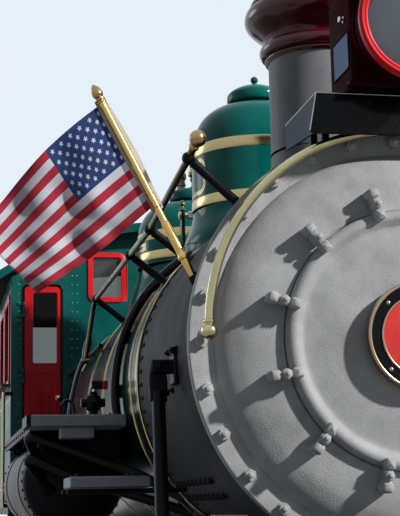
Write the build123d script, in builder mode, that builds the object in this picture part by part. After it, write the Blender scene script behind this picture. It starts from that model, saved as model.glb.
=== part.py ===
"""Narrow gauge ten-wheel steam locomotive, standing on its wheels.

Millimetres. X runs forward, Y to the left of the engine, Z up. The origin lies on
the floor below the middle of the whole engine, and the flanges touch the floor.
"""

from build123d import *
from math import atan2, cos, hypot, radians, sin, sqrt
import os

os.makedirs("parts", exist_ok=True)

# Gauge and wheels
gauge = 914.0
flange_allowance = 27.0
flange_depth = 25.0
tyre_width = 130.0
wheel_back = gauge / 2 - flange_allowance
driver_radius = 571.5
driver_spacing = 1230.0
truck_wheel_radius = 330.0
truck_half_base = 820.0
driving_axle_radius = 85.0
truck_axle_radius = 62.0
bearing_gap = 0.5

# Stations along the engine
ring_x = 2445.0
stack_x = ring_x - 855.0
jacket_front_x = ring_x - 1255.0
sand_dome_x = ring_x - 1914.0
bell_x = ring_x - 2730.0
steam_dome_x = ring_x - 3550.0
main_axle_x = ring_x - 4130.0
cab_front_x = ring_x - 4420.0
cab_length = 1530.0
backhead_x = ring_x - 5480.0
beam_front_x = ring_x + 560.0
rear_x = ring_x - 6130.0

# Boiler
boiler_z = 2025.0
ring_radius = 720.0
ring_thickness = 35.0
smokebox_radius = 690.0
smokebox_wall = 15.0
jacket_radius = 696.0
door_radius = 425.0
door_opening_radius = 400.0
dog_circle = 451.0
dog_count = 12
number_plate_radius = 178.0
firebox_half_width = 330.0
firebox_bottom = 900.0

# Running gear
stroke = 558.8
cylinder_y = 760.0
cylinder_radius = 265.0
cylinder_half = 400.0
crank_angle_right = 225.0
crank_angle_left = 315.0
crank_pin_radius = 45.0
crank_boss_face = 600.0
side_rod_inner = 612.0
side_rod_thickness = 60.0
rod_eye_radius = 85.0
pin_collar_inner = 677.0
pin_collar_face = 697.0
wrist_setback = 930.0
main_rod_thickness = 56.0
main_pin_gap = 5.0
piston_rod_radius = 30.0
wrist_pin_radius = 32.0

# Frame
frame_y = 372.0
frame_thickness = 55.0
frame_top = 850.0
frame_bottom = 430.0
frame_high_bottom = 760.0
deck_top = 1091.0

# Platforms and cab
board_top = 1895.0
board_thickness = 20.0
board_outer = 1100.0
low_board_top = 1700.0
cab_half_width = 1025.0
cab_wall = 30.0
cab_floor_top = 1530.0
eave_z = 3045.0
roof_crown = 3330.0

# Worked out from the above
axle_z = flange_depth + driver_radius
truck_axle_z = flange_depth + truck_wheel_radius
crank_radius = stroke / 2
main_rod_length = stack_x - wrist_setback - main_axle_x
driver_stations = (
    ("front", main_axle_x + driver_spacing),
    ("main", main_axle_x),
    ("rear", main_axle_x - driver_spacing),
)
main_rod_inner = cylinder_y - main_rod_thickness / 2
main_pin_face = main_rod_inner - main_pin_gap
cab_rear_x = cab_front_x - cab_length
crank_angles = {-1: crank_angle_right, 1: crank_angle_left}
sides = ((-1, "right"), (1, "left"))


def block(x0, x1, y0, y1, z0, z1, mode=Mode.ADD):
    """A box between two corners."""
    with Locations(((x0 + x1) / 2, (y0 + y1) / 2, (z0 + z1) / 2)):
        Box(abs(x1 - x0), abs(y1 - y0), abs(z1 - z0), mode=mode)


def bar(start, end, radius, mode=Mode.ADD):
    """A round bar from one point to another."""
    first = Vector(*start)
    run = Vector(*end) - first
    with Locations(Plane(first, z_dir=run).location):
        Cylinder(radius, run.length, align=(Align.CENTER, Align.CENTER, Align.MIN), mode=mode)


def cross_bar(x, z, y0, y1, radius, mode=Mode.ADD):
    """A round bar across the engine."""
    bar((x, min(y0, y1), z), (x, max(y0, y1), z), radius, mode)


def ball(x, y, z, radius):
    with Locations((x, y, z)):
        Sphere(radius)


def turned_along(points, y=0.0, z=boiler_z, mode=Mode.ADD):
    """A solid turned about a line along the engine, from (x, radius) points."""
    with BuildSketch(Plane((0, y, z), x_dir=(1, 0, 0), z_dir=(0, -1, 0))) as outline:
        Polygon(*points, align=None)
    revolve(outline.sketch, axis=Axis((0, y, z), (1, 0, 0)), mode=mode)


def turned_up(points, x, y=0.0, mode=Mode.ADD):
    """A solid turned about an upright line, from (radius, z) points."""
    with BuildSketch(Plane((x, y, 0), x_dir=(1, 0, 0), z_dir=(0, -1, 0))) as outline:
        Polygon(*points, align=None)
    revolve(outline.sketch, axis=Axis((x, y, 0), (0, 0, 1)), mode=mode)


def side_plate(points, y0, y1, mode=Mode.ADD):
    """A plate across Y, from (x, z) points."""
    with BuildSketch(Plane((0, min(y0, y1), 0), x_dir=(1, 0, 0), z_dir=(0, -1, 0))) as outline:
        Polygon(*points, align=None)
    extrude(outline.sketch, amount=-abs(y1 - y0), mode=mode)


def cross_plate(points, x0, x1, mode=Mode.ADD):
    """A plate across X, from (y, z) points."""
    with BuildSketch(Plane((min(x0, x1), 0, 0), x_dir=(0, 1, 0), z_dir=(1, 0, 0))) as outline:
        Polygon(*points, align=None)
    extrude(outline.sketch, amount=abs(x1 - x0), mode=mode)


def around_boiler(angle, radius):
    """Y and Z of a point at an angle from the top of the boiler, towards the right side."""
    return -radius * sin(radians(angle)), boiler_z + radius * cos(radians(angle))


def cut_round(x0, x1, radius):
    """Cuts away what lies inside the boiler's outline between two stations."""
    turned_along([(x0, 0), (x1, 0), (x1, radius), (x0, radius)], mode=Mode.SUBTRACT)


def save(piece, label):
    piece.part.label = label
    export_step(piece.part, f"parts/{label}.step")


def crank_pin_place(side, axle_x):
    angle = radians(crank_angles[side])
    return axle_x + crank_radius * cos(angle), axle_z + crank_radius * sin(angle)


def wrist_pin_x(side):
    pin_x, pin_z = crank_pin_place(side, main_axle_x)
    return pin_x + sqrt(main_rod_length**2 - (pin_z - axle_z) ** 2)


# Frame: two main side frames with axle jaws, a front rail spliced to each ahead of the drivers, cross ties,
# waist sheets and the drawbar pocket
jaw_half = 115.0
jaw_top = 740.0
jaw_bottom = 470.0
frame_window_half = 380.0
drawbar_pin_radius = 28.0
rear_beam_depth = 130.0
rear_beam_half = 900.0
pocket_depth = 260.0
pocket_half = 90.0
splice_gap = 0.3
frame_step_x = main_axle_x + driver_spacing + 730.0
frame_front_x = beam_front_x - 140.0
frame_inner = frame_y - frame_thickness / 2
frame_outer = frame_y + frame_thickness / 2
with BuildPart() as frame:
    for side in (-1, 1):
        side_plate(
            [
                (rear_x + 30, frame_bottom),
                (frame_step_x, frame_bottom),
                (frame_step_x, frame_top),
                (rear_x + 30, frame_top),
            ],
            side * frame_inner,
            side * frame_outer,
        )
        block(
            frame_step_x + splice_gap,
            frame_front_x,
            side * frame_inner,
            side * frame_outer,
            frame_high_bottom,
            frame_top,
        )
        for name, x in driver_stations:
            block(
                x - jaw_half,
                x + jaw_half,
                side * (frame_inner - 5),
                side * (frame_outer + 5),
                jaw_bottom,
                jaw_top,
                mode=Mode.SUBTRACT,
            )
        for x in (main_axle_x - driver_spacing / 2, main_axle_x + driver_spacing / 2):
            block(
                x - frame_window_half,
                x + frame_window_half,
                side * (frame_inner - 5),
                side * (frame_outer + 5),
                frame_bottom + 90,
                frame_top - 100,
                mode=Mode.SUBTRACT,
            )
    for tie_x in (frame_step_x - 60, main_axle_x + driver_spacing / 2, main_axle_x - driver_spacing / 2):
        block(tie_x - 30, tie_x + 30, -frame_inner, frame_inner, frame_top - 90, frame_top)
    rear_beam_x = rear_x + rear_beam_depth
    block(rear_x, rear_beam_x, -rear_beam_half, rear_beam_half, frame_top - 110, frame_top + 130)
    block(rear_x + 30, rear_x + 330, -frame_inner, frame_inner, 560, frame_top - 60)
    block(rear_x - 1, rear_x + pocket_depth, -pocket_half, pocket_half, 640, 740, mode=Mode.SUBTRACT)
    bar((rear_beam_x, 0, 500), (rear_beam_x, 0, 1000), drawbar_pin_radius, mode=Mode.SUBTRACT)
    for waist_x in (frame_step_x - 60, main_axle_x + driver_spacing / 2):
        block(waist_x - 8, waist_x + 8, -frame_outer, frame_outer, frame_top - 20, boiler_z - 500)
    cut_round(main_axle_x, frame_step_x + 400, jacket_radius)
save(frame, "frame")

# Axle boxes in the jaws
box_flange = 12.0
with BuildPart() as axle_boxes:
    for name, x in driver_stations:
        for side in (-1, 1):
            y0 = side * (frame_inner - box_flange)
            y1 = side * (frame_outer + box_flange)
            block(x - jaw_half, x + jaw_half, y0, y1, jaw_bottom, jaw_top)
            block(x - jaw_half, x + jaw_half, y0, side * frame_inner, jaw_bottom - 20, jaw_bottom)
        reach = frame_outer + box_flange + 8
        cross_bar(x, axle_z, -reach, reach, driving_axle_radius + bearing_gap, mode=Mode.SUBTRACT)
save(axle_boxes, "axle_boxes")

# Leaf springs over the frame
spring_leaves = 6
leaf_thickness = 12.0
leaf_step = 40.0
shortest_leaf = 190.0
spring_rise = 90.0
hanger_reach = 380.0
with BuildPart() as driving_springs:
    for name, x in driver_stations:
        for side in (-1, 1):
            y0 = side * frame_inner
            y1 = side * frame_outer
            for leaf in range(spring_leaves):
                half = shortest_leaf + leaf_step * (spring_leaves - 1 - leaf)
                base = frame_top + spring_rise - leaf * leaf_thickness
                block(x - half, x + half, y0, y1, base, base + leaf_thickness)
            spring_top = frame_top + spring_rise + leaf_thickness
            block(x - 45, x + 45, y0, y1, frame_top, spring_top)
            for end in (-1, 1):
                hanger_x = x + end * hanger_reach
                block(hanger_x - 10, hanger_x + 10, y0, y1, frame_top, spring_top)
save(driving_springs, "driving_springs")


def build_wheel(x, z, side, tread_radius, rim_depth, hub_radius, spoke_count, spoke_width, spoke_start):
    """One spoked wheel with its tyre, flange inward."""
    inner = side * wheel_back
    rim_radius = tread_radius - 30
    base = inner + side * 15
    depth = tyre_width - 30
    with BuildSketch(Plane((x, base, z), x_dir=(1, 0, 0), z_dir=(0, side, 0))) as face:
        Circle(rim_radius)
        Circle(rim_radius - rim_depth, mode=Mode.SUBTRACT)
        with PolarLocations(rim_radius / 2 - rim_depth / 2, spoke_count, start_angle=spoke_start):
            Rectangle(rim_radius - rim_depth + 10, spoke_width)
        Circle(hub_radius)
    extrude(face.sketch, amount=depth)
    y_tread = inner + side * 32
    y_face = inner + side * tyre_width
    with BuildSketch(Plane((x, 0, z), x_dir=(0, 1, 0), z_dir=(1, 0, 0))) as tyre:
        Polygon(
            (inner, rim_radius - 2),
            (inner, tread_radius + flange_depth - 8),
            (inner + side * 8, tread_radius + flange_depth),
            (inner + side * 18, tread_radius + flange_depth),
            (y_tread, tread_radius),
            (y_face, tread_radius - 4),
            (y_face, rim_radius - 2),
            align=None,
        )
    revolve(tyre.sketch, axis=Axis((x, 0, z), (0, 1, 0)))


# Driving axles: axle, wheels, counterweights and crank pins in one piece
def build_driving_axle(name, x):
    with BuildPart() as driving_axle:
        cross_bar(x, axle_z, -wheel_back - 60, wheel_back + 60, driving_axle_radius)
        for side in (-1, 1):
            pin_x, pin_z = crank_pin_place(side, x)
            spoke_start = 360 - crank_angles[side] if side == 1 else crank_angles[side]
            build_wheel(x, axle_z, side, driver_radius, 55, 130, 13, 44, spoke_start)
            cross_bar(x, axle_z, side * (wheel_back + 10), side * (wheel_back + tyre_width + 15), 118)
            cross_bar(pin_x, pin_z, side * (wheel_back + 20), side * crank_boss_face, 92)
            weight_back = (x, side * (wheel_back + 25), axle_z)
            with BuildSketch(Plane(weight_back, x_dir=(1, 0, 0), z_dir=(0, side, 0))) as weight:
                Circle(driver_radius - 32)
                Circle(driver_radius - 240, mode=Mode.SUBTRACT)
                turn = atan2((pin_z - axle_z) * -side, pin_x - x)
                reach = driver_radius
                with Locations((reach * cos(turn), reach * sin(turn))):
                    Circle(reach * 1.22, mode=Mode.SUBTRACT)
            extrude(weight.sketch, amount=tyre_width - 38)
            last = main_pin_face if name == "main" else pin_collar_face
            cross_bar(pin_x, pin_z, side * (crank_boss_face - 5), side * last, crank_pin_radius)
            cross_bar(pin_x, pin_z, side * pin_collar_inner, side * pin_collar_face, crank_pin_radius + 17)
    return driving_axle


for name, x in driver_stations:
    save(build_driving_axle(name, x), f"driving_axle_{name}")


# Side rods: one rod a side over three crank pins
def build_side_rod(side):
    pins = [crank_pin_place(side, x) for name, x in driver_stations]
    y0 = side * side_rod_inner
    y1 = side * (side_rod_inner + side_rod_thickness)
    with BuildPart() as side_rod:
        block(pins[2][0], pins[0][0], y0 + side * 8, y1 - side * 8, pins[0][1] - 45, pins[0][1] + 45)
        for pin_x, pin_z in pins:
            cross_bar(pin_x, pin_z, y0, y1, rod_eye_radius)
            cup_top = pin_z + rod_eye_radius + 30
            block(pin_x - 30, pin_x + 30, y0 + side * 10, y1 - side * 10, pin_z + 70, cup_top)
        for pin_x, pin_z in pins:
            cross_bar(pin_x, pin_z, y0 - side, y1 + side, crank_pin_radius + bearing_gap, mode=Mode.SUBTRACT)
    return side_rod


for side, side_name in sides:
    save(build_side_rod(side), f"side_rod_{side_name}")

# Crosshead, guides and main rod
guide_low = 755.0
guide_bar_height = 35.0
guide_gap = 60.0
guide_half_width = 30.0
wide_guide_half_width = 50.0
guide_yoke_top = 960.0
slide_clearance = 0.5
crosshead_half = 140.0
crosshead_outer = 60.0
cheek_thickness = 24.0
guide_front_x = stack_x - cylinder_half
guide_rear_x = stack_x - wrist_setback - crank_radius - crosshead_half - 45.6
slipper_low = guide_low + guide_bar_height + slide_clearance
slipper_high = guide_low + guide_bar_height + guide_gap - slide_clearance
piston_rod_reach = wrist_setback - 70.0


def build_crosshead(side):
    x = wrist_pin_x(side)
    y_in = side * (cylinder_y - crosshead_outer)
    y_out = side * (cylinder_y + crosshead_outer)
    with BuildPart() as crosshead:
        block(x - crosshead_half, x + crosshead_half, y_in, y_out, slipper_low, slipper_high)
        for edge in (y_in, y_out):
            other = edge + cheek_thickness * (1 if edge < side * cylinder_y else -1)
            side_plate(
                [
                    (x - 95, axle_z - 75),
                    (x + 110, axle_z - 75),
                    (x + 110, axle_z + 95),
                    (x + crosshead_half, slipper_low + 5),
                    (x - crosshead_half, slipper_low + 5),
                    (x - 95, axle_z + 75),
                ],
                edge,
                other,
            )
        block(x + 72, x + 110, y_in, y_out, axle_z - 75, axle_z + 95)
        cross_bar(x, axle_z, y_in - side * 8, y_out + side * 8, wrist_pin_radius)
        y = side * cylinder_y
        bar((x + 100, y, axle_z), (x + piston_rod_reach, y, axle_z), piston_rod_radius)
    return crosshead


def build_main_rod(side):
    x = wrist_pin_x(side)
    pin_x, pin_z = crank_pin_place(side, main_axle_x)
    y0 = side * main_rod_inner
    y1 = side * (main_rod_inner + main_rod_thickness)
    lean = atan2(pin_z - axle_z, pin_x - x)
    along = (cos(lean), 0, sin(lean))
    plane = Plane((x, min(y0, y1), axle_z), x_dir=along, z_dir=(0, -1, 0))
    with BuildPart() as main_rod:
        with BuildSketch(plane) as outline:
            Polygon((0, -38), (main_rod_length - 80, -55), (main_rod_length - 80, 55), (0, 38), align=None)
            Circle(60)
            with Locations((main_rod_length, 0)):
                RectangleRounded(250, 200, 40)
        extrude(outline.sketch, amount=-main_rod_thickness)
        cross_bar(x, axle_z, y0 - side, y1 + side, wrist_pin_radius + bearing_gap, mode=Mode.SUBTRACT)
        cross_bar(pin_x, pin_z, y1 - side * 5, y1 + side * 22, 48)
    return main_rod


for side, side_name in sides:
    save(build_crosshead(side), f"crosshead_{side_name}")
    save(build_main_rod(side), f"main_rod_{side_name}")

with BuildPart() as guides:
    for side in (-1, 1):
        y0 = side * (cylinder_y - guide_half_width)
        y1 = side * (cylinder_y + guide_half_width)
        upper = guide_low + guide_bar_height + guide_gap
        block(guide_rear_x, guide_front_x, y0, y1, guide_low, guide_low + guide_bar_height)
        y2 = side * (cylinder_y - wide_guide_half_width)
        y3 = side * (cylinder_y + wide_guide_half_width)
        block(guide_rear_x, guide_front_x, y2, y3, upper, upper + guide_bar_height)
        block(guide_front_x - 40, guide_front_x, y0, y1, guide_low, upper + 5)
        block(guide_rear_x, guide_rear_x + 30, y2, y3, guide_low, upper + 5)
        yoke_outer = side * (cylinder_y + wide_guide_half_width + 20)
        block(guide_rear_x - 25, guide_rear_x, side * frame_outer, yoke_outer, guide_low, guide_yoke_top)
save(guides, "guides")

# Cylinders, each cast with half of the smokebox saddle and its steam chest
saddle_half = 330.0
saddle_foot_z = 700.0
saddle_foot_y = 330.0
saddle_flank = ((560, 640), (620, 900), (420, 1000), (360, 1150))
saddle_top = (430.0, boiler_z - 465.0)
rib_reach = 200.0
steam_chest_half = 300.0
steam_chest_top = 1085.0
steam_chest_sides = (560.0, 970.0)
stuffing_radius = 70.0
for side, side_name in sides:
    with BuildPart() as cylinder:
        cross_plate(
            [
                (0, saddle_foot_z),
                (side * saddle_foot_y, saddle_foot_z),
                (side * saddle_foot_y, frame_high_bottom),
                *[(side * y, z) for y, z in saddle_flank],
                (side * saddle_top[0], saddle_top[1]),
                (0, saddle_top[1]),
            ],
            stack_x - saddle_half,
            stack_x + saddle_half,
        )
        for rib in (-1, 1):
            rib_x = stack_x + rib * rib_reach
            block(rib_x - 15, rib_x + 15, side * 330, side * 520, 960, 1250)
        turned_along(
            [
                (stack_x - cylinder_half, 0),
                (stack_x - cylinder_half, cylinder_radius - 40),
                (stack_x - cylinder_half + 30, cylinder_radius - 10),
                (stack_x - cylinder_half + 60, cylinder_radius),
                (stack_x + cylinder_half - 60, cylinder_radius),
                (stack_x + cylinder_half - 30, cylinder_radius - 10),
                (stack_x + cylinder_half, cylinder_radius - 60),
                (stack_x + cylinder_half, 0),
            ],
            side * cylinder_y,
            axle_z,
        )
        chest_inner, chest_outer = steam_chest_sides
        block(stack_x - steam_chest_half, stack_x + steam_chest_half, side * chest_inner, side * chest_outer,
              700, steam_chest_top)
        y = side * cylinder_y
        rear_cover_x = stack_x - cylinder_half
        bar((rear_cover_x - 70, y, axle_z), (rear_cover_x + 10, y, axle_z), stuffing_radius)
        bar((rear_cover_x - 71, y, axle_z), (stack_x + cylinder_half - 60, y, axle_z),
            piston_rod_radius + bearing_gap, mode=Mode.SUBTRACT)
        cut_round(stack_x - 500, stack_x + 500, smokebox_radius)
        block(stack_x - 500, stack_x + 500, side * frame_inner, side * frame_outer, frame_high_bottom,
              frame_top, mode=Mode.SUBTRACT)
    save(cylinder, f"cylinder_{side_name}")

# Leading truck
truck_bar_y = 300.0
truck_bar_half = 25.0
truck_bar_low = 440.0
truck_bar_high = 520.0
pedestal_low = 265.0
pedestal_half_length = 100.0
pedestal_half_width = 38.0
equaliser_half = 600.0
equaliser_low = 300.0
equaliser_half_width = 15.0
centre_plate_radius = 170.0
with BuildPart() as truck_frame:
    for side in (-1, 1):
        y0 = side * (truck_bar_y - truck_bar_half)
        y1 = side * (truck_bar_y + truck_bar_half)
        bar_reach = truck_half_base + 130
        block(stack_x - bar_reach, stack_x + bar_reach, y0, y1, truck_bar_low, truck_bar_high)
        y0 = side * (truck_bar_y - pedestal_half_width)
        y1 = side * (truck_bar_y + pedestal_half_width)
        for end in (-1, 1):
            x0 = stack_x + end * truck_half_base - pedestal_half_length
            x1 = stack_x + end * truck_half_base + pedestal_half_length
            block(x0, x1, y0, y1, pedestal_low, truck_bar_low + 10)
        y0 = side * (truck_bar_y - equaliser_half_width)
        y1 = side * (truck_bar_y + equaliser_half_width)
        block(stack_x - equaliser_half, stack_x + equaliser_half, y0, y1, equaliser_low, equaliser_low + 40)
        for end in (-1, 1):
            x0 = stack_x + end * (equaliser_half - 40)
            x1 = stack_x + end * equaliser_half
            block(x0, x1, y0, y1, equaliser_low, truck_bar_low + 10)
    for cross_x in (stack_x - truck_half_base - 110, stack_x + truck_half_base + 70):
        block(cross_x, cross_x + 40, -truck_bar_y, truck_bar_y, truck_bar_low + 10, truck_bar_high - 10)
    block(stack_x - 160, stack_x + 160, -320, 320, truck_bar_low + 20, truck_bar_high + 40)
    plate_top = saddle_foot_z - bearing_gap
    turned_up([
        (0, truck_bar_high + 20),
        (centre_plate_radius, truck_bar_high + 20),
        (centre_plate_radius, plate_top),
        (0, plate_top),
    ], stack_x)
    for end in (-1, 1):
        axle_x = stack_x + end * truck_half_base
        reach = truck_bar_y + pedestal_half_width + 7
        cross_bar(axle_x, truck_axle_z, -reach, reach, truck_axle_radius + bearing_gap, mode=Mode.SUBTRACT)
save(truck_frame, "truck_frame")

for end, end_name in ((1, "front"), (-1, "rear")):
    x = stack_x + end * truck_half_base
    with BuildPart() as truck_axle:
        cross_bar(x, truck_axle_z, -wheel_back - 60, wheel_back + 60, truck_axle_radius)
        for side in (-1, 1):
            build_wheel(x, truck_axle_z, side, truck_wheel_radius, 40, 85, 10, 34, 0)
            cross_bar(x, truck_axle_z, side * (wheel_back + 5), side * (wheel_back + tyre_width - 5), 80)
    save(truck_axle, f"truck_axle_{end_name}")

# Brake shoes and beams behind each driver
shoe_angle = 210.0
shoe_gap = 9.0
shoe_depth = 46.0
beam_reach = 75.0
with BuildPart() as brake_gear:
    for name, x in driver_stations:
        beam_x = x + (driver_radius + beam_reach) * cos(radians(shoe_angle))
        beam_z = axle_z + (driver_radius + beam_reach) * sin(radians(shoe_angle))
        cross_bar(beam_x, beam_z, -540, 540, 24)
        for side in (-1, 1):
            middle = shoe_angle if side == -1 else 360 - shoe_angle
            with BuildSketch(Plane((x, side * 470, axle_z), x_dir=(1, 0, 0), z_dir=(0, side, 0))) as shoe:
                with BuildLine():
                    inner_arc = CenterArc((0, 0), driver_radius + shoe_gap, middle - 18, 36)
                    outer_arc = CenterArc((0, 0), driver_radius + shoe_gap + shoe_depth, middle - 18, 36)
                    Line(inner_arc @ 0, outer_arc @ 0)
                    Line(inner_arc @ 1, outer_arc @ 1)
                make_face()
            extrude(shoe.sketch, amount=60)
            block(beam_x - 20, beam_x + 20, side * frame_inner, side * frame_outer, beam_z, frame_bottom)
save(brake_gear, "brake_gear")

# Smokebox shell, bored for the stack
with BuildPart() as smokebox:
    turned_along([
        (ring_x - ring_thickness, smokebox_radius - smokebox_wall),
        (ring_x - ring_thickness, smokebox_radius),
        (jacket_front_x, smokebox_radius),
        (jacket_front_x, 0),
        (jacket_front_x + 15, 0),
        (jacket_front_x + 15, smokebox_radius - smokebox_wall),
    ])
    bar((stack_x, 0, boiler_z), (stack_x, 0, boiler_z + 720), 150, mode=Mode.SUBTRACT)
save(smokebox, "smokebox")

# Smokebox front: bolted ring and dished plate around the door opening, with the hinge lugs
hinge_x = ring_x + 150.0
hinge_y = 486.0
hinge_heights = (-230.0, 230.0)
hinge_knuckle = 40.0
ring_bolt_count = 28
ring_bolt_circle = 0.945 * ring_radius
with BuildPart() as smokebox_front:
    turned_along([
        (ring_x - ring_thickness, smokebox_radius - 50),
        (ring_x - ring_thickness, ring_radius),
        (ring_x - 6, ring_radius),
        (ring_x, ring_radius - 6),
        (ring_x, 637),
        (ring_x + 34, 628),
        (ring_x + 60, 602),
        (ring_x + 84, 548),
        (ring_x + 98, 480),
        (ring_x + 104, door_radius + 8),
        (ring_x + 80, door_radius + 8),
        (ring_x + 80, door_opening_radius),
        (ring_x + 60, door_opening_radius),
        (ring_x + 60, 540),
        (ring_x + 10, 610),
        (ring_x - 10, smokebox_radius - 60),
    ])
    for index in range(ring_bolt_count):
        y, z = around_boiler(index * 360 / ring_bolt_count, ring_bolt_circle)
        bar((ring_x - 1, y, z), (ring_x + 24, y, z), 17)
    for hinge_z in hinge_heights:
        for end in (-1, 1):
            z0 = boiler_z + hinge_z + end * (hinge_knuckle + bearing_gap)
            z1 = boiler_z + hinge_z + end * (hinge_knuckle + 22)
            bar((hinge_x, hinge_y, min(z0, z1)), (hinge_x, hinge_y, max(z0, z1)), 20)
            block(ring_x + 80, hinge_x, hinge_y - 12, hinge_y + 20, min(z0, z1), max(z0, z1))
save(smokebox_front, "smokebox_front")

door_rim_x = ring_x + 112.0
door_face_x = ring_x + 134.0
with BuildPart() as smokebox_door:
    turned_along([
        (ring_x + 80.5, 0),
        (ring_x + 80.5, door_radius),
        (door_rim_x - 8, door_radius),
        (door_rim_x, door_radius - 6),
        (door_rim_x, door_radius - 42),
        (door_rim_x + 12, 300),
        (door_face_x, 80),
        (door_face_x, 0),
    ])
    for hinge_z in hinge_heights:
        z = boiler_z + hinge_z
        block(door_rim_x - 6, door_rim_x + 24, 240, hinge_y, z - 25, z + 25)
        bar((hinge_x, hinge_y, z - hinge_knuckle), (hinge_x, hinge_y, z + hinge_knuckle), 22)
        block(door_rim_x + 10, hinge_x, hinge_y - 20, hinge_y, z - 25, z + 25)
save(smokebox_door, "smokebox_door")

dog_x = ring_x + 132.0
with BuildPart() as door_dogs:
    for index in range(dog_count):
        angle = 15 + 30 * index
        y, z = around_boiler(angle, dog_circle)
        y_in, z_in = around_boiler(angle, door_radius - 22)
        y_out, z_out = around_boiler(angle, dog_circle + 46)
        bar((dog_x, y_in, z_in), (dog_x, y_out, z_out), 17)
        bar((door_rim_x, y_in, z_in), (dog_x + 4, y_in, z_in), 12)
        bar((door_rim_x, y_out, z_out), (dog_x + 14, y_out, z_out), 15)
        bar((ring_x + 118, y, z), (ring_x + 162, y, z), 15)
save(door_dogs, "door_dogs")

plate_back_x = ring_x + 158.0
plate_face_x = ring_x + 183.0
with BuildPart() as number_plate:
    bar((door_face_x, 0, boiler_z), (plate_back_x, 0, boiler_z), 60)
    bar((plate_back_x, 0, boiler_z), (plate_face_x, 0, boiler_z), number_plate_radius)
    with BuildSketch(Plane((plate_face_x, 0, boiler_z), x_dir=(0, 1, 0), z_dir=(1, 0, 0))) as rims:
        Circle(number_plate_radius)
        Circle(number_plate_radius - 12, mode=Mode.SUBTRACT)
        Circle(118)
        Circle(108, mode=Mode.SUBTRACT)
    extrude(rims.sketch, amount=6)
save(number_plate, "number_plate")

# Boiler with its firebox and backhead
with BuildPart() as boiler:
    turned_along([
        (backhead_x, 0),
        (backhead_x, jacket_radius - 30),
        (backhead_x + 30, jacket_radius),
        (jacket_front_x, jacket_radius),
        (jacket_front_x, 0),
    ])
    block(backhead_x + 60, main_axle_x - 60, -firebox_half_width, firebox_half_width,
          firebox_bottom, boiler_z)
save(boiler, "boiler")

band_half = 25.0
band_thickness = 4.0
band_stations = [ring_x - back for back in (1285, 1480, 2400, 3060, 4040)]


def band_rings(half, outer, mode=Mode.ADD):
    """A ring on the jacket at each band's station."""
    inner = jacket_radius
    for x in band_stations:
        turned_along([(x - half, inner), (x - half, outer), (x + half, outer), (x + half, inner)], mode=mode)


with BuildPart() as boiler_bands:
    band_rings(band_half, jacket_radius + band_thickness)
save(boiler_bands, "boiler_bands")

# Stack
with BuildPart() as stack:
    turned_up([
        (150, boiler_z + 500),
        (290, boiler_z + 500),
        (290, boiler_z + 700),
        (240, boiler_z + 720),
        (205, boiler_z + 790),
        (197, boiler_z + 850),
        (197, boiler_z + 1275),
        (206, boiler_z + 1280),
        (206, boiler_z + 1292),
        (224, boiler_z + 1296),
        (232, boiler_z + 1312),
        (224, boiler_z + 1330),
        (214, boiler_z + 1334),
        (222, boiler_z + 1362),
        (262, boiler_z + 1395),
        (290, boiler_z + 1430),
        (288, boiler_z + 1448),
        (262, boiler_z + 1478),
        (240, boiler_z + 1518),
        (215, boiler_z + 1518),
        (200, boiler_z + 1440),
        (150, boiler_z + 1380),
    ], stack_x)
    cut_round(stack_x - 500, stack_x + 500, smokebox_radius)
save(stack, "stack")


def build_dome(x, radius, flare, top, lid):
    """A dome with a flared base, a round shoulder and a lid, seated on the jacket."""
    with BuildPart() as dome:
        turned_up([
            (0, boiler_z + 400),
            (flare, boiler_z + 400),
            (flare, boiler_z + 720),
            (radius + 50, boiler_z + 780),
            (radius + 12, boiler_z + 850),
            (radius, boiler_z + 890),
            (radius, top - 370),
            (radius - 6, top - 290),
            (radius - 24, top - 222),
            (radius - 60, top - 165),
            (radius - 120, top - 125),
            (121, top - 100),
            (121, top - 88),
            (136, top - 84),
            (136, top - 66),
            *lid,
        ], x)
        cut_round(x - 600, x + 600, jacket_radius)
    return dome


sand_dome_top = boiler_z + 1512.0
steam_dome_top = boiler_z + 1400.0
round_lid = [
    (110, sand_dome_top - 34),
    (60, sand_dome_top - 12),
    (9, sand_dome_top - 4),
    (9, sand_dome_top + 4),
    (17, sand_dome_top + 12),
    (17, sand_dome_top + 24),
    (9, sand_dome_top + 33),
    (0, sand_dome_top + 34),
]
flat_lid = [(120, steam_dome_top - 40), (0, steam_dome_top - 40)]
sand_dome = build_dome(sand_dome_x, 313, 390, sand_dome_top, round_lid)
save(sand_dome, "sand_dome")
steam_dome = build_dome(steam_dome_x, 333, 420, steam_dome_top, flat_lid)
save(steam_dome, "steam_dome")

valve_foot = steam_dome_top - 40
with BuildPart() as safety_valves:
    for y in (-62, 62):
        bar((steam_dome_x - 20, y, valve_foot), (steam_dome_x - 20, y, valve_foot + 140), 34)
    bar((steam_dome_x + 75, 0, valve_foot), (steam_dome_x + 75, 0, valve_foot + 80), 18)
    bar((steam_dome_x + 75, 0, valve_foot + 70), (steam_dome_x + 75, 0, valve_foot + 170), 34)
save(safety_valves, "safety_valves")

# Bell
bell_pivot_z = boiler_z + jacket_radius + 330.0
with BuildPart() as bell_stand:
    block(bell_x - 70, bell_x + 70, -230, 230, boiler_z + 600, boiler_z + jacket_radius + 25)
    cut_round(bell_x - 200, bell_x + 200, jacket_radius)
    for side in (-1, 1):
        side_plate(
            [
                (bell_x - 60, boiler_z + jacket_radius + 20),
                (bell_x + 60, boiler_z + jacket_radius + 20),
                (bell_x + 28, bell_pivot_z + 28),
                (bell_x - 28, bell_pivot_z + 28),
            ],
            side * 205,
            side * 225,
        )
        cross_bar(bell_x, bell_pivot_z, side * 200, side * 230, 16.5, mode=Mode.SUBTRACT)
save(bell_stand, "bell_stand")

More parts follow.
